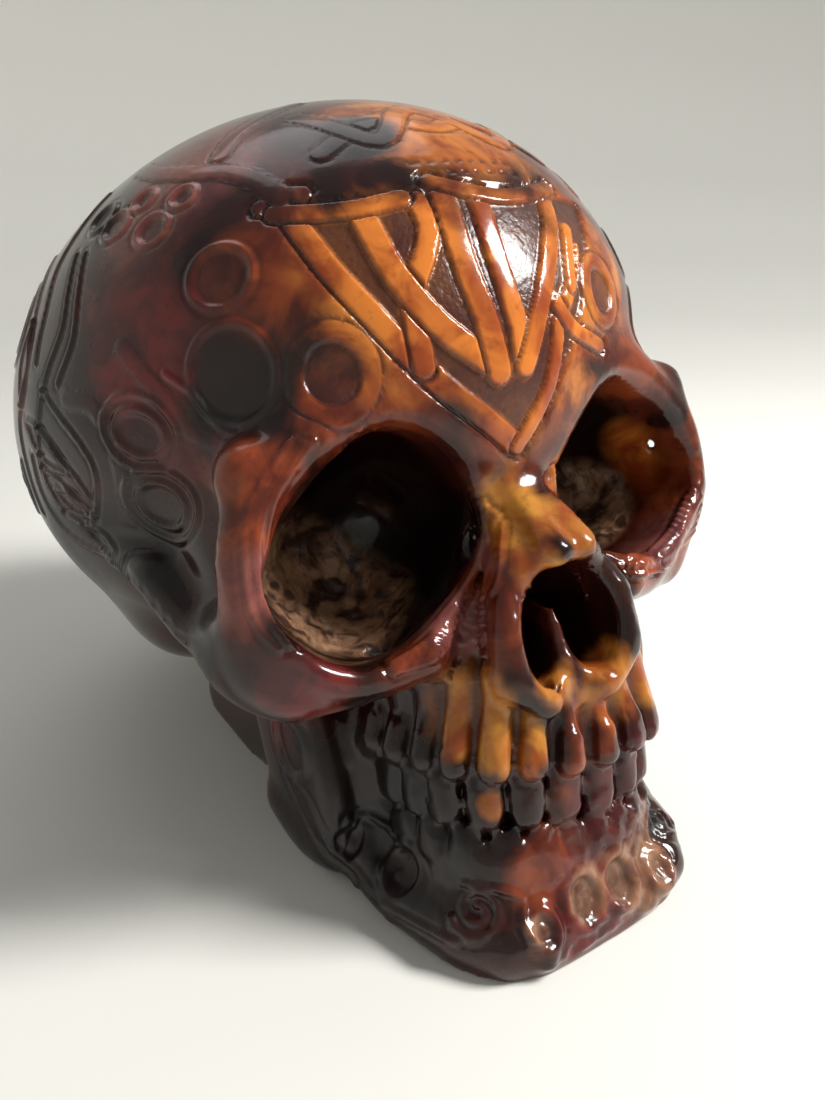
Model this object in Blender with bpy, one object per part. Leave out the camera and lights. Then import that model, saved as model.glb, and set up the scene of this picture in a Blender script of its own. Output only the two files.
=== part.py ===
"""Carved ornamental skull, a life-size casting that rests on its jaw and neck.

The form is one smooth blend of ellipsoids, tapered limbs and rounded blocks, given as a
distance in millimetres and meshed once. Thin cuts then part it into its named bones.
Shapes are placed in the skull's own frame: +X to its left, -Y to its face, +Z up, with
the origin midway between the ear openings. The finished skull leans back on the table.
"""
import math

import bmesh
import bpy
import numpy as np
from mathutils import Matrix

# Sizes and places in millimetres and radians, in the skull's own frame

LEAN = math.radians(17.0)
TABLE = -49.0
FLOOR_BLOCK = 60.0
GRID_LOW = (-84.6, -112.2, -95.1)
GRID_HIGH = (84.6, 102.0, 124.0)
CELL = 1.6
VOXEL = 1.4
TRIANGLES = 8400
CUT = 0.3
MM = 0.001

BRAINCASE_CENTRE = (0.0, 2.3, 45.8)
BRAINCASE_RADII = (80.1, 94.4, 70.0)
BRAINCASE_PITCH = math.radians(-10.6)

SOCKET_X = 34.5
SOCKET_Z = 14.5
SOCKET_LONG = 23.0
SOCKET_SHORT = 19.0
SOCKET_TURN = math.radians(-42.0)
SOCKET_DEPTH = 40.0
SOCKET_POWER = 2.45
SOCKET_FLAT = 16.8
LEFT_LIFT = 3.2
LEFT_SILL = 5.0

ARCH_BACK = -55.0
ARCH_HALF = 33.0
ARCH_LENGTH = 38.5
ARCH_POWER = 3.2
UPPER_WIDTHS = (9.2, 8.2, 8.2, 7.6, 7.4, 9.5, 9.0)
UPPER_RISE = (0.0, 1.2, 1.4, 2.2, 2.6, 3.0, 3.4)
LOWER_WIDTHS = (6.6, 7.0, 7.6, 7.6, 7.6, 10.0, 9.5)
LOWER_RISE = (0.0, 0.3, 0.6, 1.6, 2.2, 2.8, 3.2)
ROOT_LENGTHS = (12.0, 14.0, 21.0, 17.0, 14.0, 11.0, 9.0)
BITE_Z = -51.0
GUM_Z = -37.3
LOWER_TOOTH_Z = -55.2
TOOTH_POWER = 3.3
TOOTH_FILL = 0.98
FRONT_TEETH = 3
UPPER_DEPTHS = (3.4, 4.6)
LOWER_DEPTHS = (3.2, 4.4)
UPPER_ROOT = 4.0
UPPER_LEAN = -0.05
LOWER_HEIGHT = 5.2
UPPER_SET_IN = -5.8
LOWER_SET_IN = -6.6
ROOT_SET_IN = -2.7
ROOT_WIDTH = 0.42
WIDEST_ROOT = 8.4
MOLAR_RUN = 16.0
MOUTH_TILT = math.radians(6.0)
MOUTH_Z = -42.0

# Blend widths, from the broad merges of the braincase to the joins between teeth
BROAD = 10.0
SOFT = 8.0
MILD = 5.0
CLOSE = 3.0
TIGHT = 1.5
SEAM = 0.6

# Forms of the right half: (centre, radii) of ellipsoids, (point, radius) along limbs
GLABELLA = ((0, -68, 34), (20, 15, 12))
BROW = (((4, -76, 31), 6.0), ((20, -76, 37.6), 6.2), ((38, -74, 38), 5.8), ((54, -70, 31.5), 5.5))
SOCKET_WALL = ((29, -52, 14), (31, 25, 28))
MASTOID = ((46, 14, -1), (13, 22, 15))
TEMPLE = ((50, -40, 8), (11, 22, 18))
NECK_CENTRE = (0.0, 8.0, -36.0)
NECK_HALF = (37.0, 44.0, 26.0)
NECK_ROUND = 18.0

CHEEK_PILLAR = (((54.5, -73, 33), 4.4), ((57, -73.5, 20), 4.2), ((57.5, -71.5, 4), 6.0),
                ((50, -68, -9), 8.5), ((40, -72, -10), 7.0), ((28, -80, -8), 5.5))
CHEEK_CORNER = ((56.5, -63, -2), (9.5, 12, 11))
CHEEK_ARCH = (((57, -60, -3), 6.0), ((62, -49, 3), 5.2), ((65.5, -39, 13), 4.8),
              ((66.5, -24, 19), 4.2))

NOSE_BRIDGE = (((1.4, -75.5, 27), 3.8), ((2, -83.5, 18), 3.6), ((3.2, -95, 7.6), 3.8))
NOSE_WING = (((4.4, -78, 20), 3.0), ((7.8, -90.5, 5), 3.4))
NOSE_EDGE = (((9, -86, 6), 4.0), ((14, -90.3, -6), 4.2), ((14.5, -90.5, -16), 4.8),
             ((8, -90.5, -22), 4.6))
UPPER_CORE = ((0, -62, -14), (29, 28, 25))
NOSTRIL = ((6.9, -92, -9.6), (5.6, 22, 9.8))
NOSTRIL_TOP = ((3.4, -94, -1), (4.6, 22, 5.6))

# Lower border of the jaw: (across, along, height over the table) and radius
JAW_BORDER = (((0, -103, 5.6), 6.0), ((16, -104, 5.6), 6.2), ((22, -102, 5.6), 6.2),
              ((28, -94, 5.6), 6.0), ((33, -80, 5.6), 6.0), ((34, -64, 6), 6.0),
              ((37.5, -50, 7), 6.0), ((38.5, -37, 8), 6.0))
RAMUS_CENTRE = (39.5, -35.0, -30.0)
RAMUS_HALF = (5.4, 16.5, 31.0)
RAMUS_PITCH = math.radians(-8.0)
MOUTH_FLOOR_CENTRE = (0.0, -22.0, -50.0)
MOUTH_FLOOR_HALF = (34.0, 38.0, 32.0)
MOUTH_FLOOR_ROUND = 12.0

# Tongues of the dental arch: growth of the outline, middle, half height and edge radius
UPPER_GUM = (-2.2, -27.0, 9.5, 3.0)
LOWER_GUM = (-3.2, -67.0, 11.4, 3.0)
MOUTH_FILL = (-10.0, -50.0, 16.0, 2.0)

# How the nodes are parted
FAR = 130.0
JAW_CUT_FRONT = -53.0
JAW_CUT_BACK = (-53.0, -48.5)
RAMUS_TOP = -14.0
RAMUS_REAR = -16.0
RAMUS_INNER = 31.0
SNOUT_HALF = 35.0
SNOUT_REAR = -60.0
NASAL_ROOT = 22.0
CHEEK_TOP = 26.0
CHEEK_REAR = -30.0
CHEEK_REAR_INNER = 50.0
CHEEK_BOTTOM = -40.0

FINISH = {
    "cranium": ((0.13, 0.030, 0.016), 0.16),
    "cheekbone_right": ((0.30, 0.070, 0.045), 0.16),
    "cheekbone_left": ((0.30, 0.070, 0.045), 0.16),
    "upper_jaw": ((0.42, 0.17, 0.030), 0.15),
    "lower_jaw": ((0.10, 0.030, 0.026), 0.18),
}


# Blending and basic forms, as distances that are negative inside


def ease(value, low, high):
    t = np.clip((value - low) / (high - low), 0.0, 1.0)
    return t * t * (3.0 - 2.0 * t)


def join(a, b, blend):
    """Smooth union of two distances."""
    t = np.clip(0.5 + 0.5 * (b - a) / blend, 0.0, 1.0)
    return b + (a - b) * t - blend * t * (1.0 - t)


def carve(a, b, blend):
    """Distance a with form b taken out of it."""
    return -join(-a, b, blend)


def pitched(y, z, angle):
    c, s = math.cos(angle), math.sin(angle)
    return c * y + s * z, c * z - s * y


def ellipsoid(p, centre, radii, pitch=0.0):
    x, y, z = (p[i] - centre[i] for i in range(3))
    y, z = pitched(y, z, pitch)
    near = np.sqrt((x / radii[0])**2 + (y / radii[1])**2 + (z / radii[2])**2)
    slope = np.sqrt((x / radii[0]**2)**2 + (y / radii[1]**2)**2 + (z / radii[2]**2)**2)
    return near * (near - 1.0) / np.maximum(slope, 1e-6)


def limb(p, a, b, radius_a, radius_b):
    """A tapered rod with round ends."""
    along = [b[i] - a[i] for i in range(3)]
    t = sum((p[i] - a[i]) * along[i] for i in range(3)) / sum(v * v for v in along)
    t = np.clip(t, 0.0, 1.0)
    off = [p[i] - a[i] - t * along[i] for i in range(3)]
    return np.sqrt(off[0]**2 + off[1]**2 + off[2]**2) - (radius_a + (radius_b - radius_a) * t)


def chain(p, *stations):
    """Tapered rods end to end through (point, radius) stations."""
    out = None
    for (a, radius_a), (b, radius_b) in zip(stations, stations[1:]):
        part = limb(p, a, b, radius_a, radius_b)
        out = part if out is None else np.minimum(out, part)
    return out


def block(p, centre, half, radius, pitch=0.0):
    x, y, z = (p[i] - centre[i] for i in range(3))
    y, z = pitched(y, z, pitch)
    edge = [np.abs(v) - h + radius for v, h in zip((x, y, z), half)]
    outside = np.sqrt(sum(np.maximum(v, 0.0)**2 for v in edge))
    inside = np.minimum(np.maximum(np.maximum(edge[0], edge[1]), edge[2]), 0.0)
    return outside + inside - radius


def pillow(u, v, w, half, power):
    """A superellipsoid: an ellipsoid whose sides are fuller the higher the power."""
    near = (np.abs(u / half[0])**power + np.abs(v / half[1])**power
            + np.abs(w / half[2])**power)**(1.0 / power)
    slope = np.sqrt((u / half[0]**2)**2 + (v / half[1]**2)**2 + (w / half[2]**2)**2)
    return near * (near - 1.0) / np.maximum(slope, 1e-6)


def on_table(x, y, height):
    """A point given over the table, in the skull's own frame."""
    y, z = pitched(y, TABLE + height, -LEAN)
    return x, y, z


# Cranium


def cranium(p):
    d = ellipsoid(p, BRAINCASE_CENTRE, BRAINCASE_RADII, BRAINCASE_PITCH)
    d = join(d, ellipsoid(p, *GLABELLA), SOFT)
    d = join(d, chain(p, *BROW), SOFT)
    d = join(d, ellipsoid(p, *SOCKET_WALL), SOFT)
    d = join(d, ellipsoid(p, *MASTOID), BROAD)
    return join(d, ellipsoid(p, *TEMPLE), MILD)


def neck(p):
    return block(p, NECK_CENTRE, NECK_HALF, NECK_ROUND, -LEAN)


# Eye sockets


def socket_plane(x):
    """How far forward the rim of the socket lies."""
    return -83.0 + 0.09 * (x - 12.0) + 0.004 * np.maximum(x - 36.0, 0.0)**2


def socket_axes(x, z):
    return pitched(x - SOCKET_X, z - SOCKET_Z, SOCKET_TURN)


def socket_rim(p):
    x, y, z = p
    top = ease(z, 8.0, 34.0)
    side = ease(x, 13.0, 26.0)
    radius = 1.0 + (2.1 + 1.1 * top) * side
    u, v = socket_axes(x, z)
    half = (SOCKET_LONG + 2.6 + 0.9 * top, SOCKET_SHORT + 2.6 + 0.9 * top)
    near = (np.abs(u / half[0])**SOCKET_POWER
            + np.abs(v / half[1])**SOCKET_POWER)**(1.0 / SOCKET_POWER)
    slope = np.sqrt((u / half[0]**2)**2 + (v / half[1]**2)**2)
    across = near * (near - 1.0) / np.maximum(slope, 1e-6)
    behind = 0.8 * (y - socket_plane(x) - 2.5 - 1.5 * top)
    return np.sqrt(across**2 + behind**2) - radius


def socket_hollow(p):
    depth = np.maximum(p[1] - socket_plane(p[0]), 0.0)
    u, v = socket_axes(p[0] + 0.26 * depth, p[2] + 0.05 * depth)
    hollow = pillow(u, v, depth, (SOCKET_LONG, SOCKET_SHORT, SOCKET_DEPTH), SOCKET_POWER)
    return carve(hollow, SOCKET_FLAT - v, MILD)


# Cheekbones


def cheek(p):
    d = join(chain(p, *CHEEK_PILLAR), ellipsoid(p, *CHEEK_CORNER), SOFT)
    return join(d, chain(p, *CHEEK_ARCH), MILD)


# Nose and upper jaw


def snout(p):
    d = join(chain(p, *NOSE_BRIDGE), chain(p, *NOSE_WING), CLOSE)
    d = join(d, chain(p, *NOSE_EDGE), CLOSE)
    return join(d, ellipsoid(p, *UPPER_CORE), MILD)


def nose_hollow(p):
    return join(ellipsoid(p, *NOSTRIL), ellipsoid(p, *NOSTRIL_TOP), CLOSE)


def arch_side(x, y, grow):
    """Distance outside the dental arch, seen from above."""
    half = (ARCH_HALF + grow, ARCH_LENGTH + grow)
    forward = np.minimum(y - ARCH_BACK, 0.0)
    near = (np.abs(x / half[0])**ARCH_POWER
            + np.abs(forward / half[1])**ARCH_POWER)**(1.0 / ARCH_POWER)
    slope = np.sqrt((x / half[0]**2)**2 + (forward / half[1]**2)**2)
    across = near * (near - 1.0) / np.maximum(slope, 1e-6)
    return np.maximum(across, y - ARCH_BACK - 22.0)


def arch_wall(p, grow, middle, half_height, radius):
    """A solid tongue of the arch's outline with a rounded edge."""
    across = np.maximum(arch_side(p[0], p[1], grow) + radius, 0.0)
    above = np.maximum(np.abs(p[2] - middle) - half_height, 0.0)
    return np.sqrt(across**2 + above**2) - radius


def tooth_places(widths, grow):
    """Middle and turn of each tooth of one half of the arch, from the front."""
    turn = np.linspace(0.0, math.pi / 2, 400)
    x = (ARCH_HALF + grow) * np.sin(turn)**(2.0 / ARCH_POWER)
    y = ARCH_BACK - (ARCH_LENGTH + grow) * np.cos(turn)**(2.0 / ARCH_POWER)
    x = np.append(x, x[-1])
    y = np.append(y, ARCH_BACK + MOLAR_RUN)
    run = np.append(0.0, np.cumsum(np.hypot(np.diff(x), np.diff(y))))
    start = 0.0
    for number, width in enumerate(widths):
        middle = start + width / 2
        ahead, here, behind = (
            (np.interp(at, run, x), np.interp(at, run, y)) for at in (middle - 1, middle, middle + 1))
        yield number, width, here, math.atan2(behind[1] - ahead[1], behind[0] - ahead[0])
        start += width


def tooth(p, middle, z, turn, half, lean):
    u, v = pitched(p[0] - middle[0], p[1] - middle[1], turn)
    return pillow(u, v + lean * (p[2] - z), p[2] - z, half, TOOTH_POWER)


def upper_teeth(p):
    out = None
    for number, width, middle, turn in tooth_places(UPPER_WIDTHS, UPPER_SET_IN):
        low = BITE_Z + UPPER_RISE[number]
        top = GUM_Z + UPPER_ROOT
        half = (width * TOOTH_FILL / 2, UPPER_DEPTHS[number >= FRONT_TEETH], (top - low) / 2)
        part = tooth(p, middle, (low + top) / 2, turn, half, UPPER_LEAN)
        out = part if out is None else np.minimum(out, part)
    return out


def lower_teeth(p):
    out = None
    for number, width, middle, turn in tooth_places(LOWER_WIDTHS, LOWER_SET_IN):
        z = LOWER_TOOTH_Z + LOWER_RISE[number]
        half = (width * TOOTH_FILL / 2, LOWER_DEPTHS[number >= FRONT_TEETH], LOWER_HEIGHT)
        part = tooth(p, middle, z, turn, half, 0.0)
        out = part if out is None else np.minimum(out, part)
    return out


def root_ridges(p):
    """The swellings of the gum over the roots of the upper teeth."""
    out = None
    for number, width, (x, y), _ in tooth_places(UPPER_WIDTHS, ROOT_SET_IN):
        radius = min(width, WIDEST_ROOT) * ROOT_WIDTH
        gum = GUM_Z + UPPER_RISE[number] * 0.8
        root = (((x, y, gum + 1.0), radius + 0.4), ((x * 0.97, y, gum + 5.0), radius),
                ((x * 0.86, y + 1.0, gum + ROOT_LENGTHS[number]), radius * 0.35))
        part = chain(p, *root)
        out = part if out is None else join(out, part, SEAM)
    return out


# Lower jaw


def jaw(p):
    border = chain(p, *((on_table(*point), radius) for point, radius in JAW_BORDER))
    u, v, w = (p[i] - RAMUS_CENTRE[i] for i in range(3))
    v, w = pitched(v, w, RAMUS_PITCH)
    d = join(border, pillow(u, v, w, RAMUS_HALF, TOOTH_POWER), MILD)
    return join(d, block(p, MOUTH_FLOOR_CENTRE, MOUTH_FLOOR_HALF, MOUTH_FLOOR_ROUND), MILD)


# The whole skull


def face_frame(p):
    """The left eye socket and cheek sit a little higher than the right ones, its sill most."""
    x, y, z = p
    lift = LEFT_LIFT * ease(z, -32.0, -14.0) * (1.0 - ease(z, 45.0, 80.0))
    lift = lift + LEFT_SILL * ease(z, -17.0, -1.0) * (1.0 - ease(z, 0.0, 30.0))
    lift = lift * ease(x, 5.0, 50.0) * ease(-y, 35.0, 70.0)
    return np.abs(x), y, z - lift


def mouth_frame(p):
    """The row of teeth slants a little, lower on the left side."""
    x, z = pitched(p[0], p[2] - MOUTH_Z, -MOUTH_TILT)
    return np.abs(x), p[1], z + MOUTH_Z


def skull(p):
    face = face_frame(p)
    mouth = mouth_frame(p)
    d = join(cranium(face), cheek(face), MILD)
    d = join(d, snout(face), MILD)
    d = join(d, arch_wall(mouth, *UPPER_GUM), CLOSE)
    d = join(d, neck(face), BROAD)
    d = join(d, jaw(face), CLOSE)
    d = join(d, arch_wall(mouth, *LOWER_GUM), MILD)
    d = join(d, arch_wall(face, *MOUTH_FILL), CLOSE)
    d = carve(d, socket_hollow(face), CLOSE)
    d = join(d, socket_rim(face), CLOSE)
    d = carve(d, socket_hollow(face), TIGHT)
    d = join(d, root_ridges(mouth), TIGHT)
    d = carve(d, nose_hollow(face), TIGHT)
    d = join(d, upper_teeth(mouth), SEAM)
    return join(d, lower_teeth(mouth), SEAM)


# Meshing


def surface_nets(values, low, cell):
    """Points and quads of the zero level of a grid of distances."""
    inside = values < 0.0
    shape = np.array(values.shape) - 1
    corners = [(i, j, k) for i in (0, 1) for j in (0, 1) for k in (0, 1)]
    count = sum(inside[i:shape[0] + i, j:shape[1] + j, k:shape[2] + k].astype(np.int8)
                for i, j, k in corners)
    mixed = (count > 0) & (count < 8)
    cells = np.argwhere(mixed)
    number = np.full(mixed.shape, -1)
    number[mixed] = np.arange(len(cells))
    total = np.zeros((len(cells), 3))
    hits = np.zeros(len(cells))
    for corner in corners:
        for axis in range(3):
            if corner[axis]:
                continue
            start = cells + corner
            end = start + np.eye(3, dtype=int)[axis]
            a, b = values[tuple(start.T)], values[tuple(end.T)]
            crossed = (a < 0.0) != (b < 0.0)
            point = np.tile(np.array(corner, float), (len(cells), 1))
            point[:, axis] += np.where(crossed, a / np.where(crossed, a - b, 1.0), 0.0)
            total += np.where(crossed[:, None], point, 0.0)
            hits += crossed
    points = (cells + total / hits[:, None]) * cell + np.array(low)
    quads = []
    for axis in range(3):
        first = [slice(1, -1)] * 3
        second = [slice(1, -1)] * 3
        first[axis] = slice(0, -1)
        second[axis] = slice(1, None)
        a, b = inside[tuple(first)], inside[tuple(second)]
        edges = np.argwhere(a != b)
        outward = a[a != b]
        ring = []
        for du, dv in ((0, 0), (1, 0), (1, 1), (0, 1)):
            corner = edges.copy()
            corner[:, (axis + 1) % 3] += du
            corner[:, (axis + 2) % 3] += dv
            ring.append(number[tuple(corner.T)])
        ring = np.stack(ring, 1)
        ring[~outward] = ring[~outward][:, ::-1]
        quads.append(ring)
    return points, np.concatenate(quads)


def skull_points():
    axes = [np.arange(low, high, CELL, dtype=np.float32) for low, high in zip(GRID_LOW, GRID_HIGH)]
    values = skull(np.meshgrid(*axes, indexing="ij"))
    return surface_nets(values.astype(np.float64), GRID_LOW, CELL)


def add_object(name, points, faces):
    mesh = bpy.data.meshes.new(name)
    mesh.from_pydata(points, [], faces)
    mesh.update()
    made = bpy.data.objects.new(name, mesh)
    bpy.context.collection.objects.link(made)
    return made


def apply_modifier(piece, kind, **values):
    """Add a modifier and make its result the piece's mesh."""
    modifier = piece.modifiers.new(kind.title(), kind)
    for key, value in values.items():
        setattr(modifier, key, value)
    graph = bpy.context.evaluated_depsgraph_get()
    mesh = bpy.data.meshes.new_from_object(piece.evaluated_get(graph))
    piece.modifiers.clear()
    piece.data = mesh


def keep_largest(piece):
    """Drop the loose scraps that a cut can leave."""
    form = bmesh.new()
    form.from_mesh(piece.data)
    left = set(form.verts)
    shells = []
    while left:
        front = [left.pop()]
        shell = list(front)
        while front:
            vertex = front.pop()
            for edge in vertex.link_edges:
                other = edge.other_vert(vertex)
                if other in left:
                    left.remove(other)
                    front.append(other)
                    shell.append(other)
        shells.append(shell)
    shells.sort(key=len)
    for shell in shells[:-1]:
        bmesh.ops.delete(form, geom=shell, context="VERTS")
    form.to_mesh(piece.data)
    form.free()


# Cutters


def prism(name, outline, low, high, axis):
    """A closed block: an outline in two axes, drawn out along the third (0 for X, 2 for Z)."""
    count = len(outline)
    ends = [[(a, b, at) if axis == 2 else (at, a, b) for a, b in outline] for at in (low, high)]
    faces = [tuple(range(count))[::-1], tuple(range(count, 2 * count))]
    for i in range(count):
        j = (i + 1) % count
        faces.append((i, j, count + j, count + i))
    cutter = add_object(name, [tuple(v * MM for v in p) for p in ends[0] + ends[1]], faces)
    form = bmesh.new()
    form.from_mesh(cutter.data)
    bmesh.ops.recalc_face_normals(form, faces=form.faces)
    form.to_mesh(cutter.data)
    form.free()
    cutter.hide_render = True
    cutter.display_type = "WIRE"
    return cutter


def floor_cutter():
    """The space under the table top, which cuts the flat that the skull rests on."""
    corners = ((-FAR, -FLOOR_BLOCK), (FAR, -FLOOR_BLOCK), (FAR, 0), (-FAR, 0))
    outline = [pitched(y, TABLE + z, -LEAN) for y, z in corners]
    return prism("floor_cutter", outline, -FAR, FAR, 0)


def jaw_cutters(grow):
    """The space of the lower jaw: its body under the bite, and the ramus on each side."""
    back, top = JAW_CUT_BACK
    front = [(-FAR, -FAR), (back + grow, -FAR), (back + grow, top + grow),
             (-FAR, JAW_CUT_FRONT + grow)]
    body = prism("jaw_cutter", front, -FAR, FAR, 0)
    pivot = Matrix.Translation((0, 0, MOUTH_Z * MM))
    body.data.transform(pivot @ Matrix.Rotation(MOUTH_TILT, 4, "Y") @ pivot.inverted())
    yield body
    for side in (-1, 1):
        ramus = [(back - 2, 2 - FAR), (RAMUS_REAR + grow, 2 - FAR),
                 (RAMUS_REAR + grow, RAMUS_TOP + grow), (back - 2, RAMUS_TOP + grow)]
        ends = sorted((side * (RAMUS_INNER - grow), side * (FAR - 2)))
        yield prism("ramus_cutter", ramus, ends[0], ends[1], 0)


def cheek_cutter(side, grow):
    inner = SNOUT_HALF + 2 * CUT - grow
    outline = [(inner, -FAR), (FAR, -FAR), (FAR, CHEEK_REAR + grow),
               (CHEEK_REAR_INNER - grow, CHEEK_REAR + grow), (inner, SNOUT_REAR)]
    outline = [(side * x, y) for x, y in outline]
    return prism("cheek_cutter", outline, CHEEK_BOTTOM, CHEEK_TOP + grow, 2)


def snout_cutter(grow):
    half = SNOUT_HALF + grow
    outline = [(-half, -FAR), (half, -FAR), (half, SNOUT_REAR + grow), (-half, SNOUT_REAR + grow)]
    return prism("snout_cutter", outline, -FAR, NASAL_ROOT + grow, 2)


def boolean(piece, cutters, operation):
    """Cut a piece by several cutters, or keep only what lies in any of them."""
    group = bpy.data.collections.new("cutters")
    for cutter in cutters:
        group.objects.link(cutter)
    if operation == "INTERSECT" and len(group.objects) > 1:
        whole = group.objects[0]
        rest = bpy.data.collections.new("others")
        for cutter in list(group.objects)[1:]:
            rest.objects.link(cutter)
        apply_modifier(whole, "BOOLEAN", operation="UNION", operand_type="COLLECTION",
                       collection=rest, solver="EXACT")
        apply_modifier(piece, "BOOLEAN", operation=operation, object=whole, solver="EXACT")
    else:
        apply_modifier(piece, "BOOLEAN", operation=operation, operand_type="COLLECTION",
                       collection=group, solver="EXACT")
    for cutter in list(group.objects):
        bpy.data.objects.remove(cutter)
    keep_largest(piece)


def part_off(whole, name, make_cutters):
    """Move what the cutters hold from the whole into a new node, leaving a thin gap."""
    piece = bpy.data.objects.new(name, whole.data.copy())
    bpy.context.collection.objects.link(piece)
    boolean(piece, make_cutters(-CUT / 2), "INTERSECT")
    boolean(whole, make_cutters(CUT / 2), "DIFFERENCE")
    return piece


def finish(piece):
    """Stand the piece on the table, shade it smooth and give it its material."""
    upright = Matrix.Translation((0, 0, -TABLE * MM)) @ Matrix.Rotation(-LEAN, 4, "X")
    piece.data.transform(upright)
    piece.data.shade_smooth()
    piece.data.set_sharp_from_angle(angle=math.radians(50))
    colour, roughness = FINISH[piece.name]
    material = bpy.data.materials.new(piece.name + "_finish")
    material.use_nodes = True
    shader = material.node_tree.nodes["Principled BSDF"]
    shader.inputs["Base Color"].default_value = (*colour, 1.0)
    shader.inputs["Roughness"].default_value = roughness
    shader.inputs["Metallic"].default_value = 0.0
    piece.data.materials.append(material)


def centre_on_origin(pieces):
    """Put the middle of the skull's plan over the origin."""
    low = np.min([np.min([v.co for v in piece.data.vertices], axis=0) for piece in pieces], axis=0)
    high = np.max([np.max([v.co for v in piece.data.vertices], axis=0) for piece in pieces], axis=0)
    x, y, _ = (low + high) / 2
    for piece in pieces:
        piece.data.transform(Matrix.Translation((-x, -y, 0)))


def build():
    for old in list(bpy.data.objects):
        bpy.data.objects.remove(old)
    points, quads = skull_points()
    whole = add_object("cranium", (points * MM).tolist(), quads.tolist())
    apply_modifier(whole, "REMESH", mode="VOXEL", voxel_size=VOXEL * MM)
    keep_largest(whole)
    apply_modifier(whole, "DECIMATE", ratio=TRIANGLES / (2 * len(whole.data.polygons)))
    boolean(whole, [floor_cutter()], "DIFFERENCE")
    pieces = [
        part_off(whole, "lower_jaw", jaw_cutters),
        part_off(whole, "cheekbone_right", lambda grow: [cheek_cutter(-1, grow)]),
        part_off(whole, "cheekbone_left", lambda grow: [cheek_cutter(1, grow)]),
        part_off(whole, "upper_jaw", lambda grow: [snout_cutter(grow)]),
        whole,
    ]
    for piece in pieces:
        finish(piece)
    centre_on_origin(pieces)


build()
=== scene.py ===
import math
from functools import reduce

import bpy
import numpy as np
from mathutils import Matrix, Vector, noise


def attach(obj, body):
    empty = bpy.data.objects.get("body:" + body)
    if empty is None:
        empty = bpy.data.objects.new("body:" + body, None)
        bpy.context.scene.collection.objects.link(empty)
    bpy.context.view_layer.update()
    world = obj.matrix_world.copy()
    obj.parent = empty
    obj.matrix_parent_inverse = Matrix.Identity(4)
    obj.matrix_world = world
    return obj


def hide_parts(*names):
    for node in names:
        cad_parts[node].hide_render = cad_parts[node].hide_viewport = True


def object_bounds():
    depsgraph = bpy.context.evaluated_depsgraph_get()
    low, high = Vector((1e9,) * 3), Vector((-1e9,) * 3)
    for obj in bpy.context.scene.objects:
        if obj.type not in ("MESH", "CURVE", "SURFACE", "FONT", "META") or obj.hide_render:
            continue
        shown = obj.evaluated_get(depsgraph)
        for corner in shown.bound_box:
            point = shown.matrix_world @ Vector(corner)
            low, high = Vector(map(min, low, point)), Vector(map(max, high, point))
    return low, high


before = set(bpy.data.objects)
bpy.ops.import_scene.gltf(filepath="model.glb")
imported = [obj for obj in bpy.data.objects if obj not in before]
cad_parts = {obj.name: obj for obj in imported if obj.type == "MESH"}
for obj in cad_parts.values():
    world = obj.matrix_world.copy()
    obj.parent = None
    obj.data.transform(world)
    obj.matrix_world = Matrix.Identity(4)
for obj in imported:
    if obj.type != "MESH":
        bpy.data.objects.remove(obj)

# The skin of a carved ornamental skull. Its form repeats the part's own distance field, in
# millimetres in the skull's own frame (+X to its left, -Y to its face, +Z up). It is meshed
# finely as one body and gets the carving as relief. Then it leans back on the table.

CAD_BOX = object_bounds()

LEAN = math.radians(17.0)
TABLE = -49.0
GRID_LOW = (-84.6, -112.2, -95.1)
GRID_HIGH = (84.6, 102.0, 124.0)
MM = 0.001

BRAINCASE_CENTRE = (0, 2.3, 45.8)
BRAINCASE_RADII = (80.1, 94.4, 70)
BRAINCASE_PITCH = math.radians(-10.6)

SOCKET_X = 34.5
SOCKET_Z = 14.5
SOCKET_LONG = 23.0
SOCKET_SHORT = 19.0
SOCKET_TURN = math.radians(-42)
SOCKET_DEPTH = 40.0
SOCKET_POWER = 2.45
SOCKET_FLAT = 16.8
SOCKET_DRIFT = (0.26, 0.05)

# Rim of the socket: how far forward it lies, how it sweeps back outward and then curls back
RIM_Y = -83.0
RIM_SWEEP = (12, 0.09)
RIM_CURL = (36, 0.004)
# It grows over these heights, and away from the nose over these widths
RIM_TOP = (8, 34)
RIM_SIDE = (13, 26)
# Each is the plain measure and what the top adds
RIM_RADIUS = (2.1, 1.1)
RIM_OUT = (2.6, 0.9)
RIM_BACK = (2.5, 1.5)
RIM_NASAL_RADIUS = 1.0
RIM_DEPTH_SCALE = 0.8

# The left socket and cheek are lifted, and the sill more: how far, and where it fades
LEFT_LIFT = 3.2
LEFT_SILL = 5.0
LIFT_FROM = (-32, -14)
LIFT_TO = (45, 80)
SILL_FROM = (-17, -1)
SILL_TO = (0, 30)
LIFT_ACROSS = (5, 50)
LIFT_FORWARD = (35, 70)

ARCH_BACK = -55.0
ARCH_HALF = 33.0
ARCH_LENGTH = 38.5
ARCH_POWER = 3.2
ARCH_RUN_BACK = 22.0
ARCH_SAMPLES = 400
UPPER_WIDTHS = (9.2, 8.2, 8.2, 7.6, 7.4, 9.5, 9)
UPPER_RISE = (0, 1.2, 1.4, 2.2, 2.6, 3, 3.4)
LOWER_WIDTHS = (6.6, 7, 7.6, 7.6, 7.6, 10, 9.5)
LOWER_RISE = (0, 0.3, 0.6, 1.6, 2.2, 2.8, 3.2)
ROOT_LENGTHS = (12, 14, 21, 17, 14, 11, 9)
BITE_Z = -51.0
GUM_Z = -37.3
LOWER_TOOTH_Z = -55.2
TOOTH_POWER = 3.3
TOOTH_FILL = 0.98
FRONT_TEETH = 3
UPPER_DEPTHS = (3.4, 4.6)
LOWER_DEPTHS = (3.2, 4.4)
UPPER_ROOT = 4.0
UPPER_LEAN = -0.05
LOWER_HEIGHT = 5.2
UPPER_SET_IN = -5.8
LOWER_SET_IN = -6.6
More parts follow.
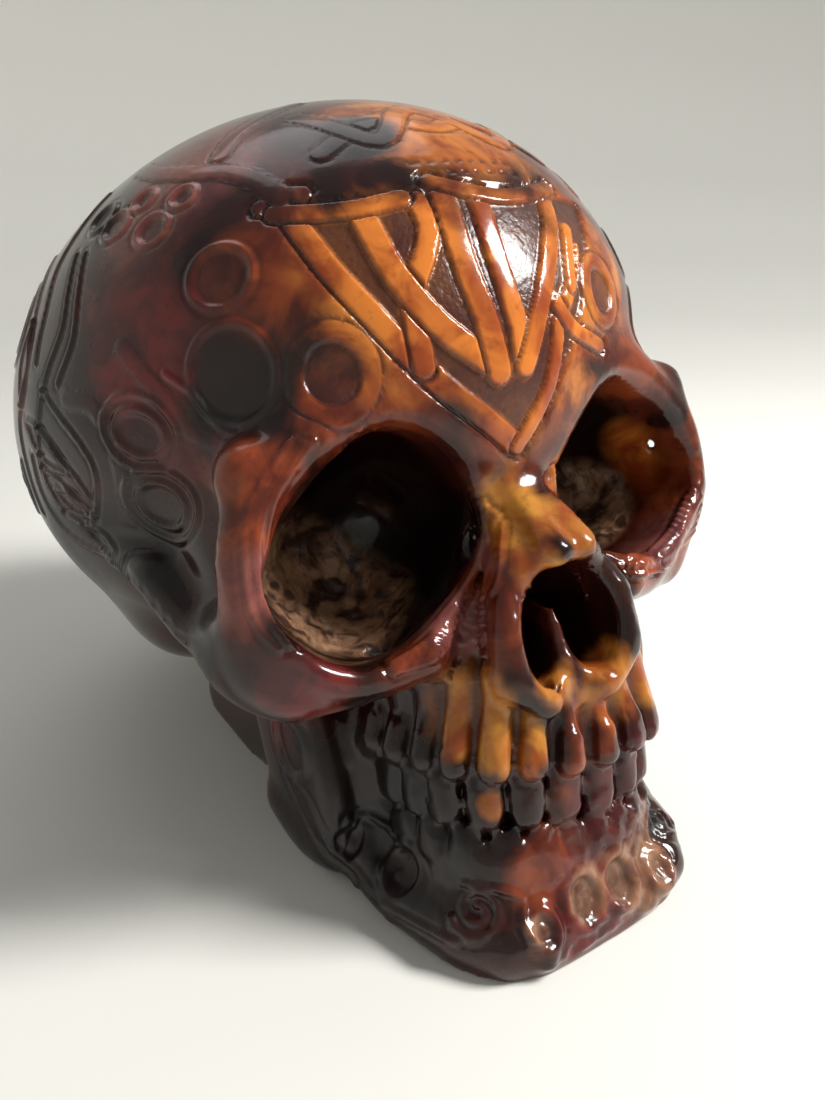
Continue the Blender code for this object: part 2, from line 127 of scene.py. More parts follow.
ROOT_SET_IN = -2.7
ROOT_WIDTH = 0.42
WIDEST_ROOT = 8.4
# How much of a tooth's rise the gum follows; where the foot, middle and tip of a root lie
GUM_FOLLOW = 0.8
ROOT_FOOT = (1, 0.4)
ROOT_MIDDLE = (0.97, 5)
ROOT_TIP = (0.86, 1, 0.35)
MOLAR_RUN = 16.0
MOUTH_TILT = math.radians(6)
MOUTH_Z = -42.0

# Blend widths, from the broad merges of the braincase to the joins between teeth
BROAD = 10.0
SOFT = 8.0
MILD = 5.0
CLOSE = 3.0
TIGHT = 1.5
SEAM = 0.6

# Forms of one half, which the other mirrors: (centre, radii) of ellipsoids, (point, radius)
# along limbs
GLABELLA = ((0, -68, 34), (20, 15, 12))
BROW = (((4, -76, 31), 6), ((20, -76, 37.6), 6.2), ((38, -74, 38), 5.8), ((54, -70, 31.5), 5.5))
SOCKET_WALL = ((29, -52, 14), (31, 25, 28))
MASTOID = ((46, 14, -1), (13, 22, 15))
TEMPLE = ((50, -40, 8), (11, 22, 18))
NECK_CENTRE = (0, 8, -36)
NECK_HALF = (37, 44, 26)
NECK_ROUND = 18.0

CHEEK_PILLAR = (((54.5, -73, 33), 4.4), ((57, -73.5, 20), 4.2), ((57.5, -71.5, 4), 6),
                ((50, -68, -9), 8.5), ((40, -72, -10), 7), ((28, -80, -8), 5.5))
CHEEK_CORNER = ((56.5, -63, -2), (9.5, 12, 11))
CHEEK_ARCH = (((57, -60, -3), 6), ((62, -49, 3), 5.2), ((65.5, -39, 13), 4.8),
              ((66.5, -24, 19), 4.2))

NOSE_BRIDGE = (((1.4, -75.5, 27), 3.8), ((2, -83.5, 18), 3.6), ((3.2, -95, 7.6), 3.8))
NOSE_WING = (((4.4, -78, 20), 3), ((7.8, -90.5, 5), 3.4))
NOSE_EDGE = (((9, -86, 6), 4), ((14, -90.3, -6), 4.2), ((14.5, -90.5, -16), 4.8),
             ((8, -90.5, -22), 4.6))
UPPER_CORE = ((0, -62, -14), (29, 28, 25))
NOSTRIL = ((6.9, -92, -9.6), (5.6, 22, 9.8))
NOSTRIL_TOP = ((3.4, -94, -1), (4.6, 22, 5.6))

# Lower border of the jaw: (across, along, height over the table) and radius
JAW_BORDER = (((0, -103, 5.6), 6), ((16, -104, 5.6), 6.2), ((22, -102, 5.6), 6.2),
              ((28, -94, 5.6), 6), ((33, -80, 5.6), 6), ((34, -64, 6), 6),
              ((37.5, -50, 7), 6), ((38.5, -37, 8), 6))
RAMUS_CENTRE = (39.5, -35, -30)
RAMUS_HALF = (5.4, 16.5, 31)
RAMUS_PITCH = math.radians(-8)
MOUTH_FLOOR_CENTRE = (0, -22, -50)
MOUTH_FLOOR_HALF = (34, 38, 32)
MOUTH_FLOOR_ROUND = 12.0

# Tongues of the dental arch: growth of the outline, middle, half height and edge radius
UPPER_GUM = (-2.2, -27, 9.5, 3)
LOWER_GUM = (-3.2, -67, 11.4, 3)
MOUTH_FILL = (-10, -50, 16, 2)

# Meshing
FINE_CELL = 0.95
COARSE_STEPS = 4
NEAR_REACH = 6.0
PROJECT_STEPS = 3
SLOPE_REACH = 0.25
LEAST_SLOPE = 0.1
RELAX_ROUNDS = 8
RELAX_SHARE = 0.6
CREASE_BEND = (0.002, 0.016)
CHUNK = 400000
TINY = 1e-6


# Blending and basic forms, as distances that are negative inside


def ease(value, low, high):
    t = np.clip((value - low) / (high - low), 0.0, 1.0)
    return t * t * (3.0 - 2.0 * t)


def join(a, b, blend):
    """Smooth union of two distances."""
    t = np.clip(0.5 + 0.5 * (b - a) / blend, 0.0, 1.0)
    return b + (a - b) * t - blend * t * (1.0 - t)


def carve(a, b, blend):
    """Distance a with form b taken out of it."""
    return -join(-a, b, blend)


def pitched(y, z, angle):
    c, s = math.cos(angle), math.sin(angle)
    return c * y + s * z, c * z - s * y


def to_distance(near, slope):
    """A distance from a measure that is 1 on the surface, and its slope."""
    return near * (near - 1.0) / np.maximum(slope, TINY)


def ellipsoid(p, centre, radii, pitch=0.0):
    x, y, z = (p[i] - centre[i] for i in range(3))
    y, z = pitched(y, z, pitch)
    near = np.sqrt((x / radii[0])**2 + (y / radii[1])**2 + (z / radii[2])**2)
    slope = np.sqrt((x / radii[0]**2)**2 + (y / radii[1]**2)**2 + (z / radii[2]**2)**2)
    return to_distance(near, slope)


def limb(p, a, b, radius_a, radius_b):
    """A tapered rod with round ends."""
    along = [b[i] - a[i] for i in range(3)]
    t = sum((p[i] - a[i]) * along[i] for i in range(3)) / sum(v * v for v in along)
    t = np.clip(t, 0.0, 1.0)
    off = [p[i] - a[i] - t * along[i] for i in range(3)]
    return np.sqrt(off[0]**2 + off[1]**2 + off[2]**2) - (radius_a + (radius_b - radius_a) * t)


def chain(p, *stations):
    """Tapered rods end to end through (point, radius) stations."""
    rods = (limb(p, a, b, radius_a, radius_b)
            for (a, radius_a), (b, radius_b) in zip(stations, stations[1:]))
    return reduce(np.minimum, rods)


def block(p, centre, half, radius, pitch=0.0):
    x, y, z = (p[i] - centre[i] for i in range(3))
    y, z = pitched(y, z, pitch)
    edge = [np.abs(v) - h + radius for v, h in zip((x, y, z), half)]
    outside = np.sqrt(sum(np.maximum(v, 0.0)**2 for v in edge))
    inside = np.minimum(np.maximum(np.maximum(edge[0], edge[1]), edge[2]), 0.0)
    return outside + inside - radius


def flat_oval(u, v, half, power):
    """Distance outside a superellipse: an ellipse whose sides are fuller the higher the power."""
    near = (np.abs(u / half[0])**power + np.abs(v / half[1])**power)**(1.0 / power)
    slope = np.sqrt((u / half[0]**2)**2 + (v / half[1]**2)**2)
    return to_distance(near, slope)


def pillow(u, v, w, half, power):
    """The same as a solid form."""
    near = (np.abs(u / half[0])**power + np.abs(v / half[1])**power
            + np.abs(w / half[2])**power)**(1.0 / power)
    slope = np.sqrt((u / half[0]**2)**2 + (v / half[1]**2)**2 + (w / half[2]**2)**2)
    return to_distance(near, slope)


def on_table(x, y, height):
    """A point given over the table, in the skull's own frame."""
    y, z = pitched(y, TABLE + height, -LEAN)
    return x, y, z


# Cranium


def cranium(p):
    d = ellipsoid(p, BRAINCASE_CENTRE, BRAINCASE_RADII, BRAINCASE_PITCH)
    d = join(d, ellipsoid(p, *GLABELLA), SOFT)
    d = join(d, chain(p, *BROW), SOFT)
    d = join(d, ellipsoid(p, *SOCKET_WALL), SOFT)
    d = join(d, ellipsoid(p, *MASTOID), BROAD)
    return join(d, ellipsoid(p, *TEMPLE), MILD)


def neck(p):
    return block(p, NECK_CENTRE, NECK_HALF, NECK_ROUND, -LEAN)


# Eye sockets


def socket_plane(x):
    """How far forward the rim of the socket lies."""
    swept = RIM_Y + RIM_SWEEP[1] * (x - RIM_SWEEP[0])
    return swept + RIM_CURL[1] * np.maximum(x - RIM_CURL[0], 0.0)**2


def socket_axes(x, z):
    return pitched(x - SOCKET_X, z - SOCKET_Z, SOCKET_TURN)


def socket_rim(p):
    x, y, z = p
    top = ease(z, *RIM_TOP)
    radius = RIM_NASAL_RADIUS + (RIM_RADIUS[0] + RIM_RADIUS[1] * top) * ease(x, *RIM_SIDE)
    half = [size + RIM_OUT[0] + RIM_OUT[1] * top for size in (SOCKET_LONG, SOCKET_SHORT)]
    across = flat_oval(*socket_axes(x, z), half, SOCKET_POWER)
    behind = RIM_DEPTH_SCALE * (y - socket_plane(x) - RIM_BACK[0] - RIM_BACK[1] * top)
    return np.sqrt(across**2 + behind**2) - radius


def socket_hollow(p):
    depth = np.maximum(p[1] - socket_plane(p[0]), 0.0)
    u, v = socket_axes(p[0] + SOCKET_DRIFT[0] * depth, p[2] + SOCKET_DRIFT[1] * depth)
    hollow = pillow(u, v, depth, (SOCKET_LONG, SOCKET_SHORT, SOCKET_DEPTH), SOCKET_POWER)
    return carve(hollow, SOCKET_FLAT - v, MILD)


# Cheekbones


def cheek(p):
    d = join(chain(p, *CHEEK_PILLAR), ellipsoid(p, *CHEEK_CORNER), SOFT)
    return join(d, chain(p, *CHEEK_ARCH), MILD)


# Nose and upper jaw


def snout(p):
    d = join(chain(p, *NOSE_BRIDGE), chain(p, *NOSE_WING), CLOSE)
    d = join(d, chain(p, *NOSE_EDGE), CLOSE)
    return join(d, ellipsoid(p, *UPPER_CORE), MILD)


def nose_hollow(p):
    return join(ellipsoid(p, *NOSTRIL), ellipsoid(p, *NOSTRIL_TOP), CLOSE)


def arch_side(x, y, grow):
    """Distance outside the dental arch, seen from above."""
    forward = np.minimum(y - ARCH_BACK, 0.0)
    across = flat_oval(x, forward, (ARCH_HALF + grow, ARCH_LENGTH + grow), ARCH_POWER)
    return np.maximum(across, y - ARCH_BACK - ARCH_RUN_BACK)


def arch_wall(p, grow, middle, half_height, radius):
    """A solid tongue of the arch's outline with a rounded edge."""
    across = np.maximum(arch_side(p[0], p[1], grow) + radius, 0.0)
    above = np.maximum(np.abs(p[2] - middle) - half_height, 0.0)
    return np.sqrt(across**2 + above**2) - radius


def tooth_places(widths, grow):
    """Middle and turn of each tooth of one half of the arch, from the front."""
    turn = np.linspace(0.0, math.pi / 2, ARCH_SAMPLES)
    x = (ARCH_HALF + grow) * np.sin(turn)**(2.0 / ARCH_POWER)
    y = ARCH_BACK - (ARCH_LENGTH + grow) * np.cos(turn)**(2.0 / ARCH_POWER)
    x = np.append(x, x[-1])
    y = np.append(y, ARCH_BACK + MOLAR_RUN)
    run = np.append(0.0, np.cumsum(np.hypot(np.diff(x), np.diff(y))))
    start = 0.0
    for number, width in enumerate(widths):
        middle = start + width / 2
        ahead, here, behind = ((np.interp(at, run, x), np.interp(at, run, y))
                               for at in (middle - 1, middle, middle + 1))
        yield number, width, here, math.atan2(behind[1] - ahead[1], behind[0] - ahead[0])
        start += width


def tooth_row(p, places, depths, spans, lean):
    """The teeth of one row, whose middle heights and half heights are given in spans."""
    teeth = []
    for number, width, (x, y), turn in places:
        z, half_high = spans[number]
        half = (width * TOOTH_FILL / 2, depths[number >= FRONT_TEETH], half_high)
        u, v = pitched(p[0] - x, p[1] - y, turn)
        teeth.append(pillow(u, v + lean * (p[2] - z), p[2] - z, half, TOOTH_POWER))
    return reduce(np.minimum, teeth)


def upper_teeth(p):
    top = GUM_Z + UPPER_ROOT
    lows = [BITE_Z + rise for rise in UPPER_RISE]
    spans = [((low + top) / 2, (top - low) / 2) for low in lows]
    places = tooth_places(UPPER_WIDTHS, UPPER_SET_IN)
    return tooth_row(p, places, UPPER_DEPTHS, spans, UPPER_LEAN)


def lower_teeth(p):
    spans = [(LOWER_TOOTH_Z + rise, LOWER_HEIGHT) for rise in LOWER_RISE]
    return tooth_row(p, tooth_places(LOWER_WIDTHS, LOWER_SET_IN), LOWER_DEPTHS, spans, 0.0)


def root_ridges(p):
    """The swellings of the gum over the roots of the upper teeth."""
    roots = []
    for number, width, (x, y), _ in tooth_places(UPPER_WIDTHS, ROOT_SET_IN):
        radius = min(width, WIDEST_ROOT) * ROOT_WIDTH
        gum = GUM_Z + UPPER_RISE[number] * GUM_FOLLOW
        foot = ((x, y, gum + ROOT_FOOT[0]), radius + ROOT_FOOT[1])
        middle = ((x * ROOT_MIDDLE[0], y, gum + ROOT_MIDDLE[1]), radius)
        tip = ((x * ROOT_TIP[0], y + ROOT_TIP[1], gum + ROOT_LENGTHS[number]), radius * ROOT_TIP[2])
        roots.append(chain(p, foot, middle, tip))
    return reduce(lambda a, b: join(a, b, SEAM), roots)


# Lower jaw


def jaw(p):
    border = chain(p, *((on_table(*point), radius) for point, radius in JAW_BORDER))
    u, v, w = (p[i] - RAMUS_CENTRE[i] for i in range(3))
    v, w = pitched(v, w, RAMUS_PITCH)
    d = join(border, pillow(u, v, w, RAMUS_HALF, TOOTH_POWER), MILD)
    return join(d, block(p, MOUTH_FLOOR_CENTRE, MOUTH_FLOOR_HALF, MOUTH_FLOOR_ROUND), MILD)


# The whole skull


def face_frame(p):
    """The left eye socket and cheek sit a little higher than the right ones, and its sill most."""
    x, y, z = p
    lift = LEFT_LIFT * ease(z, *LIFT_FROM) * (1.0 - ease(z, *LIFT_TO))
    lift = lift + LEFT_SILL * ease(z, *SILL_FROM) * (1.0 - ease(z, *SILL_TO))
    lift = lift * ease(x, *LIFT_ACROSS) * ease(-y, *LIFT_FORWARD)
    return np.abs(x), y, z - lift


def mouth_frame(p):
    """The row of teeth slants a little, lower on the left side."""
    x, z = pitched(p[0], p[2] - MOUTH_Z, -MOUTH_TILT)
    return np.abs(x), p[1], z + MOUTH_Z


def skull(p):
    face = face_frame(p)
    mouth = mouth_frame(p)
    d = join(cranium(face), cheek(face), MILD)
    d = join(d, snout(face), MILD)
    d = join(d, arch_wall(mouth, *UPPER_GUM), CLOSE)
    d = join(d, neck(face), BROAD)
    d = join(d, jaw(face), CLOSE)
    d = join(d, arch_wall(mouth, *LOWER_GUM), MILD)
    d = join(d, arch_wall(face, *MOUTH_FILL), CLOSE)
    d = carve(d, socket_hollow(face), CLOSE)
    d = join(d, socket_rim(face), CLOSE)
    d = carve(d, socket_hollow(face), TIGHT)
    d = join(d, root_ridges(mouth), TIGHT)
    d = carve(d, nose_hollow(face), TIGHT)
    d = join(d, upper_teeth(mouth), SEAM)
    return join(d, lower_teeth(mouth), SEAM)


# Meshing


def surface_nets(values, low, cell):
    """Points and quads of the zero level of a grid of distances."""
    inside = values < 0.0
    shape = np.array(values.shape) - 1
    corners = [(i, j, k) for i in (0, 1) for j in (0, 1) for k in (0, 1)]
    count = sum(inside[i:shape[0] + i, j:shape[1] + j, k:shape[2] + k].astype(np.int8)
                for i, j, k in corners)
    mixed = (count > 0) & (count < 8)
    cells = np.argwhere(mixed)
    number = np.full(mixed.shape, -1)
    number[mixed] = np.arange(len(cells))
    total = np.zeros((len(cells), 3))
    hits = np.zeros(len(cells))
    for corner in corners:
        for axis in range(3):
            if corner[axis]:
                continue
            start = cells + corner
            end = start + np.eye(3, dtype=int)[axis]
            a, b = values[tuple(start.T)], values[tuple(end.T)]
            crossed = (a < 0.0) != (b < 0.0)
            point = np.tile(np.array(corner, float), (len(cells), 1))
            point[:, axis] += np.where(crossed, a / np.where(crossed, a - b, 1.0), 0.0)
            total += np.where(crossed[:, None], point, 0.0)
            hits += crossed
    points = (cells + total / hits[:, None]) * cell + np.array(low)
    quads = []
    for axis in range(3):
        first = [slice(1, -1)] * 3
        second = [slice(1, -1)] * 3
        first[axis] = slice(0, -1)
        second[axis] = slice(1, None)
        a, b = inside[tuple(first)], inside[tuple(second)]
        edges = np.argwhere(a != b)
        outward = a[a != b]
        ring = []
        for du, dv in ((0, 0), (1, 0), (1, 1), (0, 1)):
            corner = edges.copy()
            corner[:, (axis + 1) % 3] += du
            corner[:, (axis + 2) % 3] += dv
            ring.append(number[tuple(corner.T)])
        ring = np.stack(ring, 1)
        ring[~outward] = ring[~outward][:, ::-1]
        quads.append(ring)
    return points, np.concatenate(quads)


# Fine skin


def in_chunks(p):
    """The field at many points, a part of them at a time."""
    parts = [skull(p[i:i + CHUNK].T) for i in range(0, len(p), CHUNK)]
    return np.concatenate(parts)


def whole(p):
    """The field of the skull, cut by the table top."""
    _, height = pitched(p[:, 1], p[:, 2], LEAN)
    return np.maximum(in_chunks(p), TABLE - height)


def fine_grid():
    """The field on a fine grid, worked out only near the surface."""
    low = np.array(GRID_LOW)
    step = FINE_CELL * COARSE_STEPS
    count = np.ceil((np.array(GRID_HIGH) - low) / step).astype(int)
    axes = [low[i] + step * (np.arange(count[i]) + 0.5) for i in range(3)]
    centres = np.stack(np.meshgrid(*axes, indexing="ij"), -1).reshape(-1, 3)
    coarse = whole(centres).reshape(count)
    near = np.abs(coarse) < NEAR_REACH
    values = coarse
    for axis in range(3):
        near = near.repeat(COARSE_STEPS, axis)
        values = values.repeat(COARSE_STEPS, axis)
    cells = np.argwhere(near)
    values[near] = whole(low + FINE_CELL * (cells + 0.5))
    return values, low + FINE_CELL * 0.5


def gradient(p):
    slope = np.empty_like(p)
    for axis in range(3):
        side = np.zeros(3)
        side[axis] = SLOPE_REACH
        slope[:, axis] = in_chunks(p + side) - in_chunks(p - side)
    return slope / (2.0 * SLOPE_REACH)


def refined(p, triangles, marked):
    """Split the triangles whose corners are marked into four, and their neighbours in two."""
    edges = np.concatenate([triangles[:, pair] for pair in ((0, 1), (1, 2), (2, 0))])
    edges = np.sort(edges, axis=1)
    edges, place = np.unique(edges[:, 0] * len(p) + edges[:, 1], return_inverse=True)
    ends = np.stack([edges // len(p), edges % len(p)], 1)
    split = marked[ends].all(axis=1)
    middle = np.full(len(edges), -1)
    middle[split] = len(p) + np.arange(split.sum())
    points = np.concatenate([p, p[ends[split]].mean(axis=1)])
    middle = middle[place].reshape(3, -1).T
    count = (middle >= 0).sum(axis=1)
    kept = triangles[count == 0]
    four, m = triangles[count == 3], middle[count == 3]
    inner = [np.stack(corners, 1) for corners in (
        (four[:, 0], m[:, 0], m[:, 2]), (m[:, 0], four[:, 1], m[:, 1]),
        (m[:, 2], m[:, 1], four[:, 2]), (m[:, 0], m[:, 1], m[:, 2]))]
    two, m = triangles[count == 1], middle[count == 1]
    turn = np.argmax(m >= 0, axis=1)
    rows = np.arange(len(two))
    a, b, c = (two[rows, (turn + k) % 3] for k in range(3))
    m = m[rows, turn]
    halves = [np.stack((a, m, c), 1), np.stack((m, b, c), 1)]
    return points, np.concatenate([kept] + inner + halves)


def on_surface(p):
    """Move points onto the surface, but leave those of the flat base alone."""
    _, height = pitched(p[:, 1], p[:, 2], LEAN)
    free = height > TABLE + 0.5 * FINE_CELL
    q = p[free]
    for _ in range(PROJECT_STEPS):
        slope = gradient(q)
        size = np.maximum(np.sum(slope * slope, axis=1), LEAST_SLOPE)
        move = (in_chunks(q) / size)[:, None] * slope
        q = q - np.clip(move, -FINE_CELL / 2, FINE_CELL / 2)
    p[free] = q
    normal = gradient(p)
    normal /= np.maximum(np.linalg.norm(normal, axis=1), TINY)[:, None]
    return p, normal, free


def relaxed(p, normal, triangles):
    """Even out the points along sharp creases, where the mesh would look stepped."""
    start = triangles.ravel()
    end = triangles[:, (1, 2, 0)].ravel()
    start, end = np.append(start, end), np.append(end, start)
    count = np.bincount(start, minlength=len(p))

    def around(values):
        sums = [np.bincount(start, values[end, axis], len(p)) for axis in range(3)]
        return np.stack(sums, 1) / count[:, None]

    bend = 1.0 - np.linalg.norm(around(normal), axis=1)
    share = RELAX_SHARE * ease(bend, *CREASE_BEND)[:, None]
    for _ in range(RELAX_ROUNDS):
        p = p + share * (around(p) - p)
    return p


# Carving

# Smoothness of paths, ellipses, spirals and leaves, and how far a spiral closes in
CURVE_STEPS = 6
ELLIPSE_POINTS = 20
SPIRAL_POINTS = 26
LEAF_POINTS = 9
SPIRAL_CLOSING = 0.82
# How far round a form points are looked at, and how squarely they have to face it
STRAP_REACH = 4.0
REACH = 3.0
LEAST_FACING = 0.2
# Bands: where their edge falls and the trench beside it ends, their crown and their shade
STRAP_EDGE = (-0.3, 0.2)
STRAP_TRENCH = (0.3, 0.9)
STRAP_CROWN = 0.1
STRAP_SHADE = 0.8
# Wires: where the groove beside them lies, its width and its depth
WIRE_GROOVE = (2.2, 0.8, 0.35)
SINK_EDGE = (-0.9, 0.5)


def toward(azimuth, elevation):
    """The direction at so many degrees to the left of the face, and up."""
    a, e = math.radians(azimuth), math.radians(elevation)
    return math.sin(a) * math.cos(e), -math.cos(a) * math.cos(e), math.sin(e)


def crown(lon, lat):
    """The point of the braincase that lies in a direction from its centre."""
    way = np.array(toward(lon, lat))
    y, z = pitched(way[1], way[2], BRAINCASE_PITCH)
    size = math.sqrt(sum((v / r)**2 for v, r in zip((way[0], y, z), BRAINCASE_RADII)))
    return np.array(BRAINCASE_CENTRE) + way / size


def curve(stations, closed=False):
    """A smooth path through stations."""
    s = [np.array(v, float) for v in stations]
    if closed:
        s = [s[-1]] + s + s[:2]
    else:
        s = [2 * s[0] - s[1]] + s + [2 * s[-1] - s[-2]]
    path = []
    for a, b, c, d in zip(s, s[1:], s[2:], s[3:]):
        for t in np.arange(CURVE_STEPS) / CURVE_STEPS:
            path.append(0.5 * (2 * b + (c - a) * t + (2 * a - 5 * b + 4 * c - d) * t**2
                               + (3 * b - a - 3 * c + d) * t**3))
    path.append(s[-2])
    return np.array(path)


def on_crown(stations, flip=1.0):
    return curve([crown(flip * lon, lat) for lon, lat in stations])


def patch_axes(facing):
    """Directions to the side and up on a surface that faces a way."""
    n = np.array(facing, float)
    n /= np.linalg.norm(n)
    up = np.array((0.0, 0.0, 1.0)) - n * n[2]
    up /= np.linalg.norm(up)
    return np.cross(up, n), up


def crown_patch(place, flip=1.0):
    """Where a place on the braincase is, and which way it faces."""
    centre = crown(flip * place[0], place[1])
    return centre, (centre - BRAINCASE_CENTRE) / np.array(BRAINCASE_RADII)**2


def drawn(patch, shape, turn=0.0, flip=1.0):
    """Points (side, up) in millimetres, laid on the surface round a patch."""
    centre, facing = patch
    side, up = patch_axes(facing)
    turned = (pitched(u, v, -math.radians(turn)) for u, v in shape)
    return [centre + flip * side * u + up * v for u, v in turned]


def outlined(patch, shape, turn=0.0, flip=1.0):
    return curve(drawn(patch, shape, turn, flip), closed=True)


def ellipse(half_wide, half_high):
    turns = np.arange(ELLIPSE_POINTS) * 2 * math.pi / ELLIPSE_POINTS
    return [(half_wide * math.cos(t), half_high * math.sin(t)) for t in turns]


def spiral(radius, turns):
    out = []
    for t in np.linspace(0.0, 1.0, SPIRAL_POINTS):
        angle = 2 * math.pi * turns * t
        out.append((radius * (1 - SPIRAL_CLOSING * t) * math.cos(angle),
                    radius * (1 - SPIRAL_CLOSING * t) * math.sin(angle)))
    return out


def leaf(length, width):
    """The outline of a pointed leaf."""
    t = np.linspace(0.0, 1.0, LEAF_POINTS)
    upper = [(length * (v - 0.5), width / 2 * math.sin(math.pi * v)) for v in t]
    return upper + [(u, -v) for u, v in upper[-2:0:-1]]


class Carving:
    """Relief over the skin: a height in millimetres and masks for its parts."""

    def __init__(self, p, normal):
        self.p = p
        self.normal = normal
        self.height = np.zeros(len(p))
        self.strap = np.zeros(len(p))
        # pit: carved hollows, darkened by painted shade and partly given the purple-brown of the sunk ground
        self.pit = np.zeros(len(p))
        # line: the ridges of the wires, lit up by a painted highlight
        self.line = np.zeros(len(p))

    def near(self, path, reach):
        """The points near a path, and how far they are from it along the surface."""
        low, high = path.min(axis=0) - reach, path.max(axis=0) + reach
        pick = np.nonzero(np.all((self.p > low) & (self.p < high), axis=1))[0]
        q, n = self.p[pick], self.normal[pick]
        best = np.full(len(pick), 1e6)
        for a, b in zip(path, path[1:]):
            along = b - a
            t = np.clip((q - a) @ along / max(along @ along, 1e-9), 0.0, 1.0)
            off = q - a - t[:, None] * along
            off -= n * np.sum(off * n, axis=1)[:, None]
            best = np.minimum(best, np.sum(off * off, axis=1))
        return pick, np.sqrt(best)

    def lay_strap(self, path, half, height=0.0, trench=0.9, colour=1.0):
        """A flat band with a trench on each side, over whatever it crosses."""
        pick, away = self.near(path, half + STRAP_REACH)
        top = 1.0 - ease(away, half + STRAP_EDGE[0], half + STRAP_EDGE[1])
        cover = 1.0 - ease(away, half + STRAP_TRENCH[0], half + STRAP_TRENCH[1])
        form = height + STRAP_CROWN * (1.0 - (away / half)**2) * top - trench * (1.0 - top)
        self.height[pick] += (form - self.height[pick]) * cover
        self.strap[pick] += (colour * top - self.strap[pick]) * cover
        # Painted shade darkens the trench beside the band
        shade = cover * (1.0 - top) * STRAP_SHADE
        self.pit[pick] = np.maximum(self.pit[pick] * (1.0 - cover), shade)

    def lay_wire(self, path, half, height):
        """A thin raised line with a shallow groove on each side."""
        pick, away = self.near(path, half + REACH)
        ridge = np.exp(-(away / half)**2)
        place, width, depth = WIRE_GROOVE
        groove = np.exp(-((away - place * half) / (width * half))**2)
        self.height[pick] += height * ridge - depth * height * groove
        # The ridge is marked for the painted highlight on the wires
        self.line[pick] = np.maximum(self.line[pick], ridge)

    # A cut groove, darkened by painted shade through the pit mask
    def cut_line(self, path, half, depth, dark):
        pick, away = self.near(path, half + REACH)
        groove = np.exp(-(away / half)**2)
        self.height[pick] -= depth * groove
        self.pit[pick] = np.maximum(self.pit[pick], dark * groove)

    def oval(self, patch, half_wide, half_high, turn, flip):
        """The points round a patch, and how far outside an oval they are."""
        centre, facing = patch
        side, up = patch_axes(facing)
        reach = max(half_wide, half_high) + REACH
        pick = np.nonzero(np.sum((self.p - centre)**2, axis=1) < reach**2)[0]
        off = self.p[pick] - centre
        u, v = pitched(flip * (off @ side), off @ up, math.radians(turn))
        near = np.sqrt((u / half_wide)**2 + (v / half_high)**2)
        square = self.normal[pick] @ (np.array(facing) / np.linalg.norm(facing)) > LEAST_FACING
        return pick[square], ((near - 1.0) * min(half_wide, half_high))[square]

    def sink(self, patch, half_wide, half_high, depth, turn=0.0, flip=1.0, dark=0.8):
        """An oval hollow, darkened by painted shade through the pit mask."""
        pick, outside = self.oval(patch, half_wide, half_high, turn, flip)
        inside = 1.0 - ease(outside, *SINK_EDGE)
        self.height[pick] -= depth * inside
        self.pit[pick] = np.maximum(self.pit[pick], dark * inside)


# What is carved: stations are degrees on the braincase, or millimetres on the face and jaw

# Wires: half width and height in millimetres
RING_WIRE = (0.6, 0.4)
SIDE_WIRE = (0.6, 0.45)
JAW_OVAL_WIRE = (1.0, 0.45)
SPIRAL_WIRE = (0.7, 0.55)
JAW_WIRE = (0.7, 0.5)
FIBRE_WIRE = (0.6, 0.4)
# Grooves between roots: half width, depth and shade
ROOT_GROOVE = (1.8, 1.6, 1.0)
FRONT_GROOVE = (1.3, 1.2, 0.95)
GROOVE_STATIONS = (0.0, 0.35, 0.7, 1.0)
FRONT_GROOVE_HEIGHTS = (0.0, 5.0, 10.0)
ROOT_GATHER = 0.14
# Bands that aren't in the knot, and the flat rings beside it
SIDE_STRAP = {"height": 0.2, "trench": 0.2, "colour": 0.3}
CROWN_STRAP = {"height": 0.2, "trench": 0.35, "colour": 0.3}
RING_STRAP = {"trench": 0.3, "colour": 0.25}
# How far the hollow of a ring keeps inside it, and how deep hollows are
RING_INSET = 1.2
RING_DEPTH = 0.55
KNOT_RING_DEPTH = 0.6
KNOT_RING_TALL = 1.15

KNOT_FIELD = ((-27.4, 22.6), (-14.7, 2.5), (-1.1, -11.8), (7.1, -1), (22, 21.4), (-5.6, 21.8))
KNOT = (
    # half width, stations, in the order that they are laid over each other
    (1.9, ((-29.9, 23.2), (-26.8, 24.5), (-24, 24))),
    (2.3, ((-26.2, 21.1), (-22.6, 13.3), (-18.6, 7), (-15.6, 2.7), (-11.1, -2.5), (-6, -6.8), (-1.2, -11))),
    (1.7, ((-1.2, -11), (1.4, -7.8), (3.9, -4.1), (5.4, 0.9), (6.2, 4.1), (9, 7.4), (12.6, 13.2))),
    (2.2, ((-10, 20.2), (-9.7, 16.5), (-10.9, 13.5), (-12.7, 10.7), (-13.7, 8), (-13.8, 4.6), (-13.6, 0.3))),
    (1.7, ((5.5, 6.7), (8.7, 2.8), (14.9, 0.3))),
    (2.5, ((-17.6, 20.4), (-15.8, 13.2), (-14.3, 9.8), (-12, 6.1), (-8.8, 2.7), (-4, -0.9))),
    (2.6, ((-3.9, -1.4), (-5.2, 5.3), (-6.3, 10.6), (-6.5, 15.5), (-6.2, 21.6))),
    (2.3, ((-0.2, -1.4), (-0.7, 3.4), (-1.5, 8.4), (-1.9, 13.3), (-1.3, 20.8))),
    (2.2, ((0, -1.2), (3.4, 6), (6.6, 11.6), (9.8, 17), (11.6, 21.4))),
    (2, ((-28.1, 21.9), (-23, 20.8), (-17.5, 20.3), (-11.8, 20.8))),
    (1.6, ((9.6, 8), (10.6, 11.6), (12.6, 15.6))),
    (1.9, ((-7.6, 23), (-3, 21.2), (2, 20.2), (7, 20.6), (14, 22.4))),
)
KNOT_DEPTH = 0.85
KNOT_EDGE = 0.6
# Rings beside the knot: place, outer and inner half width, outer half height
KNOT_RINGS = (((-24.3, 1.2), 9.2, 5.4, 10.4), ((17, 7.4), 8.2, 4.6, 8.6))

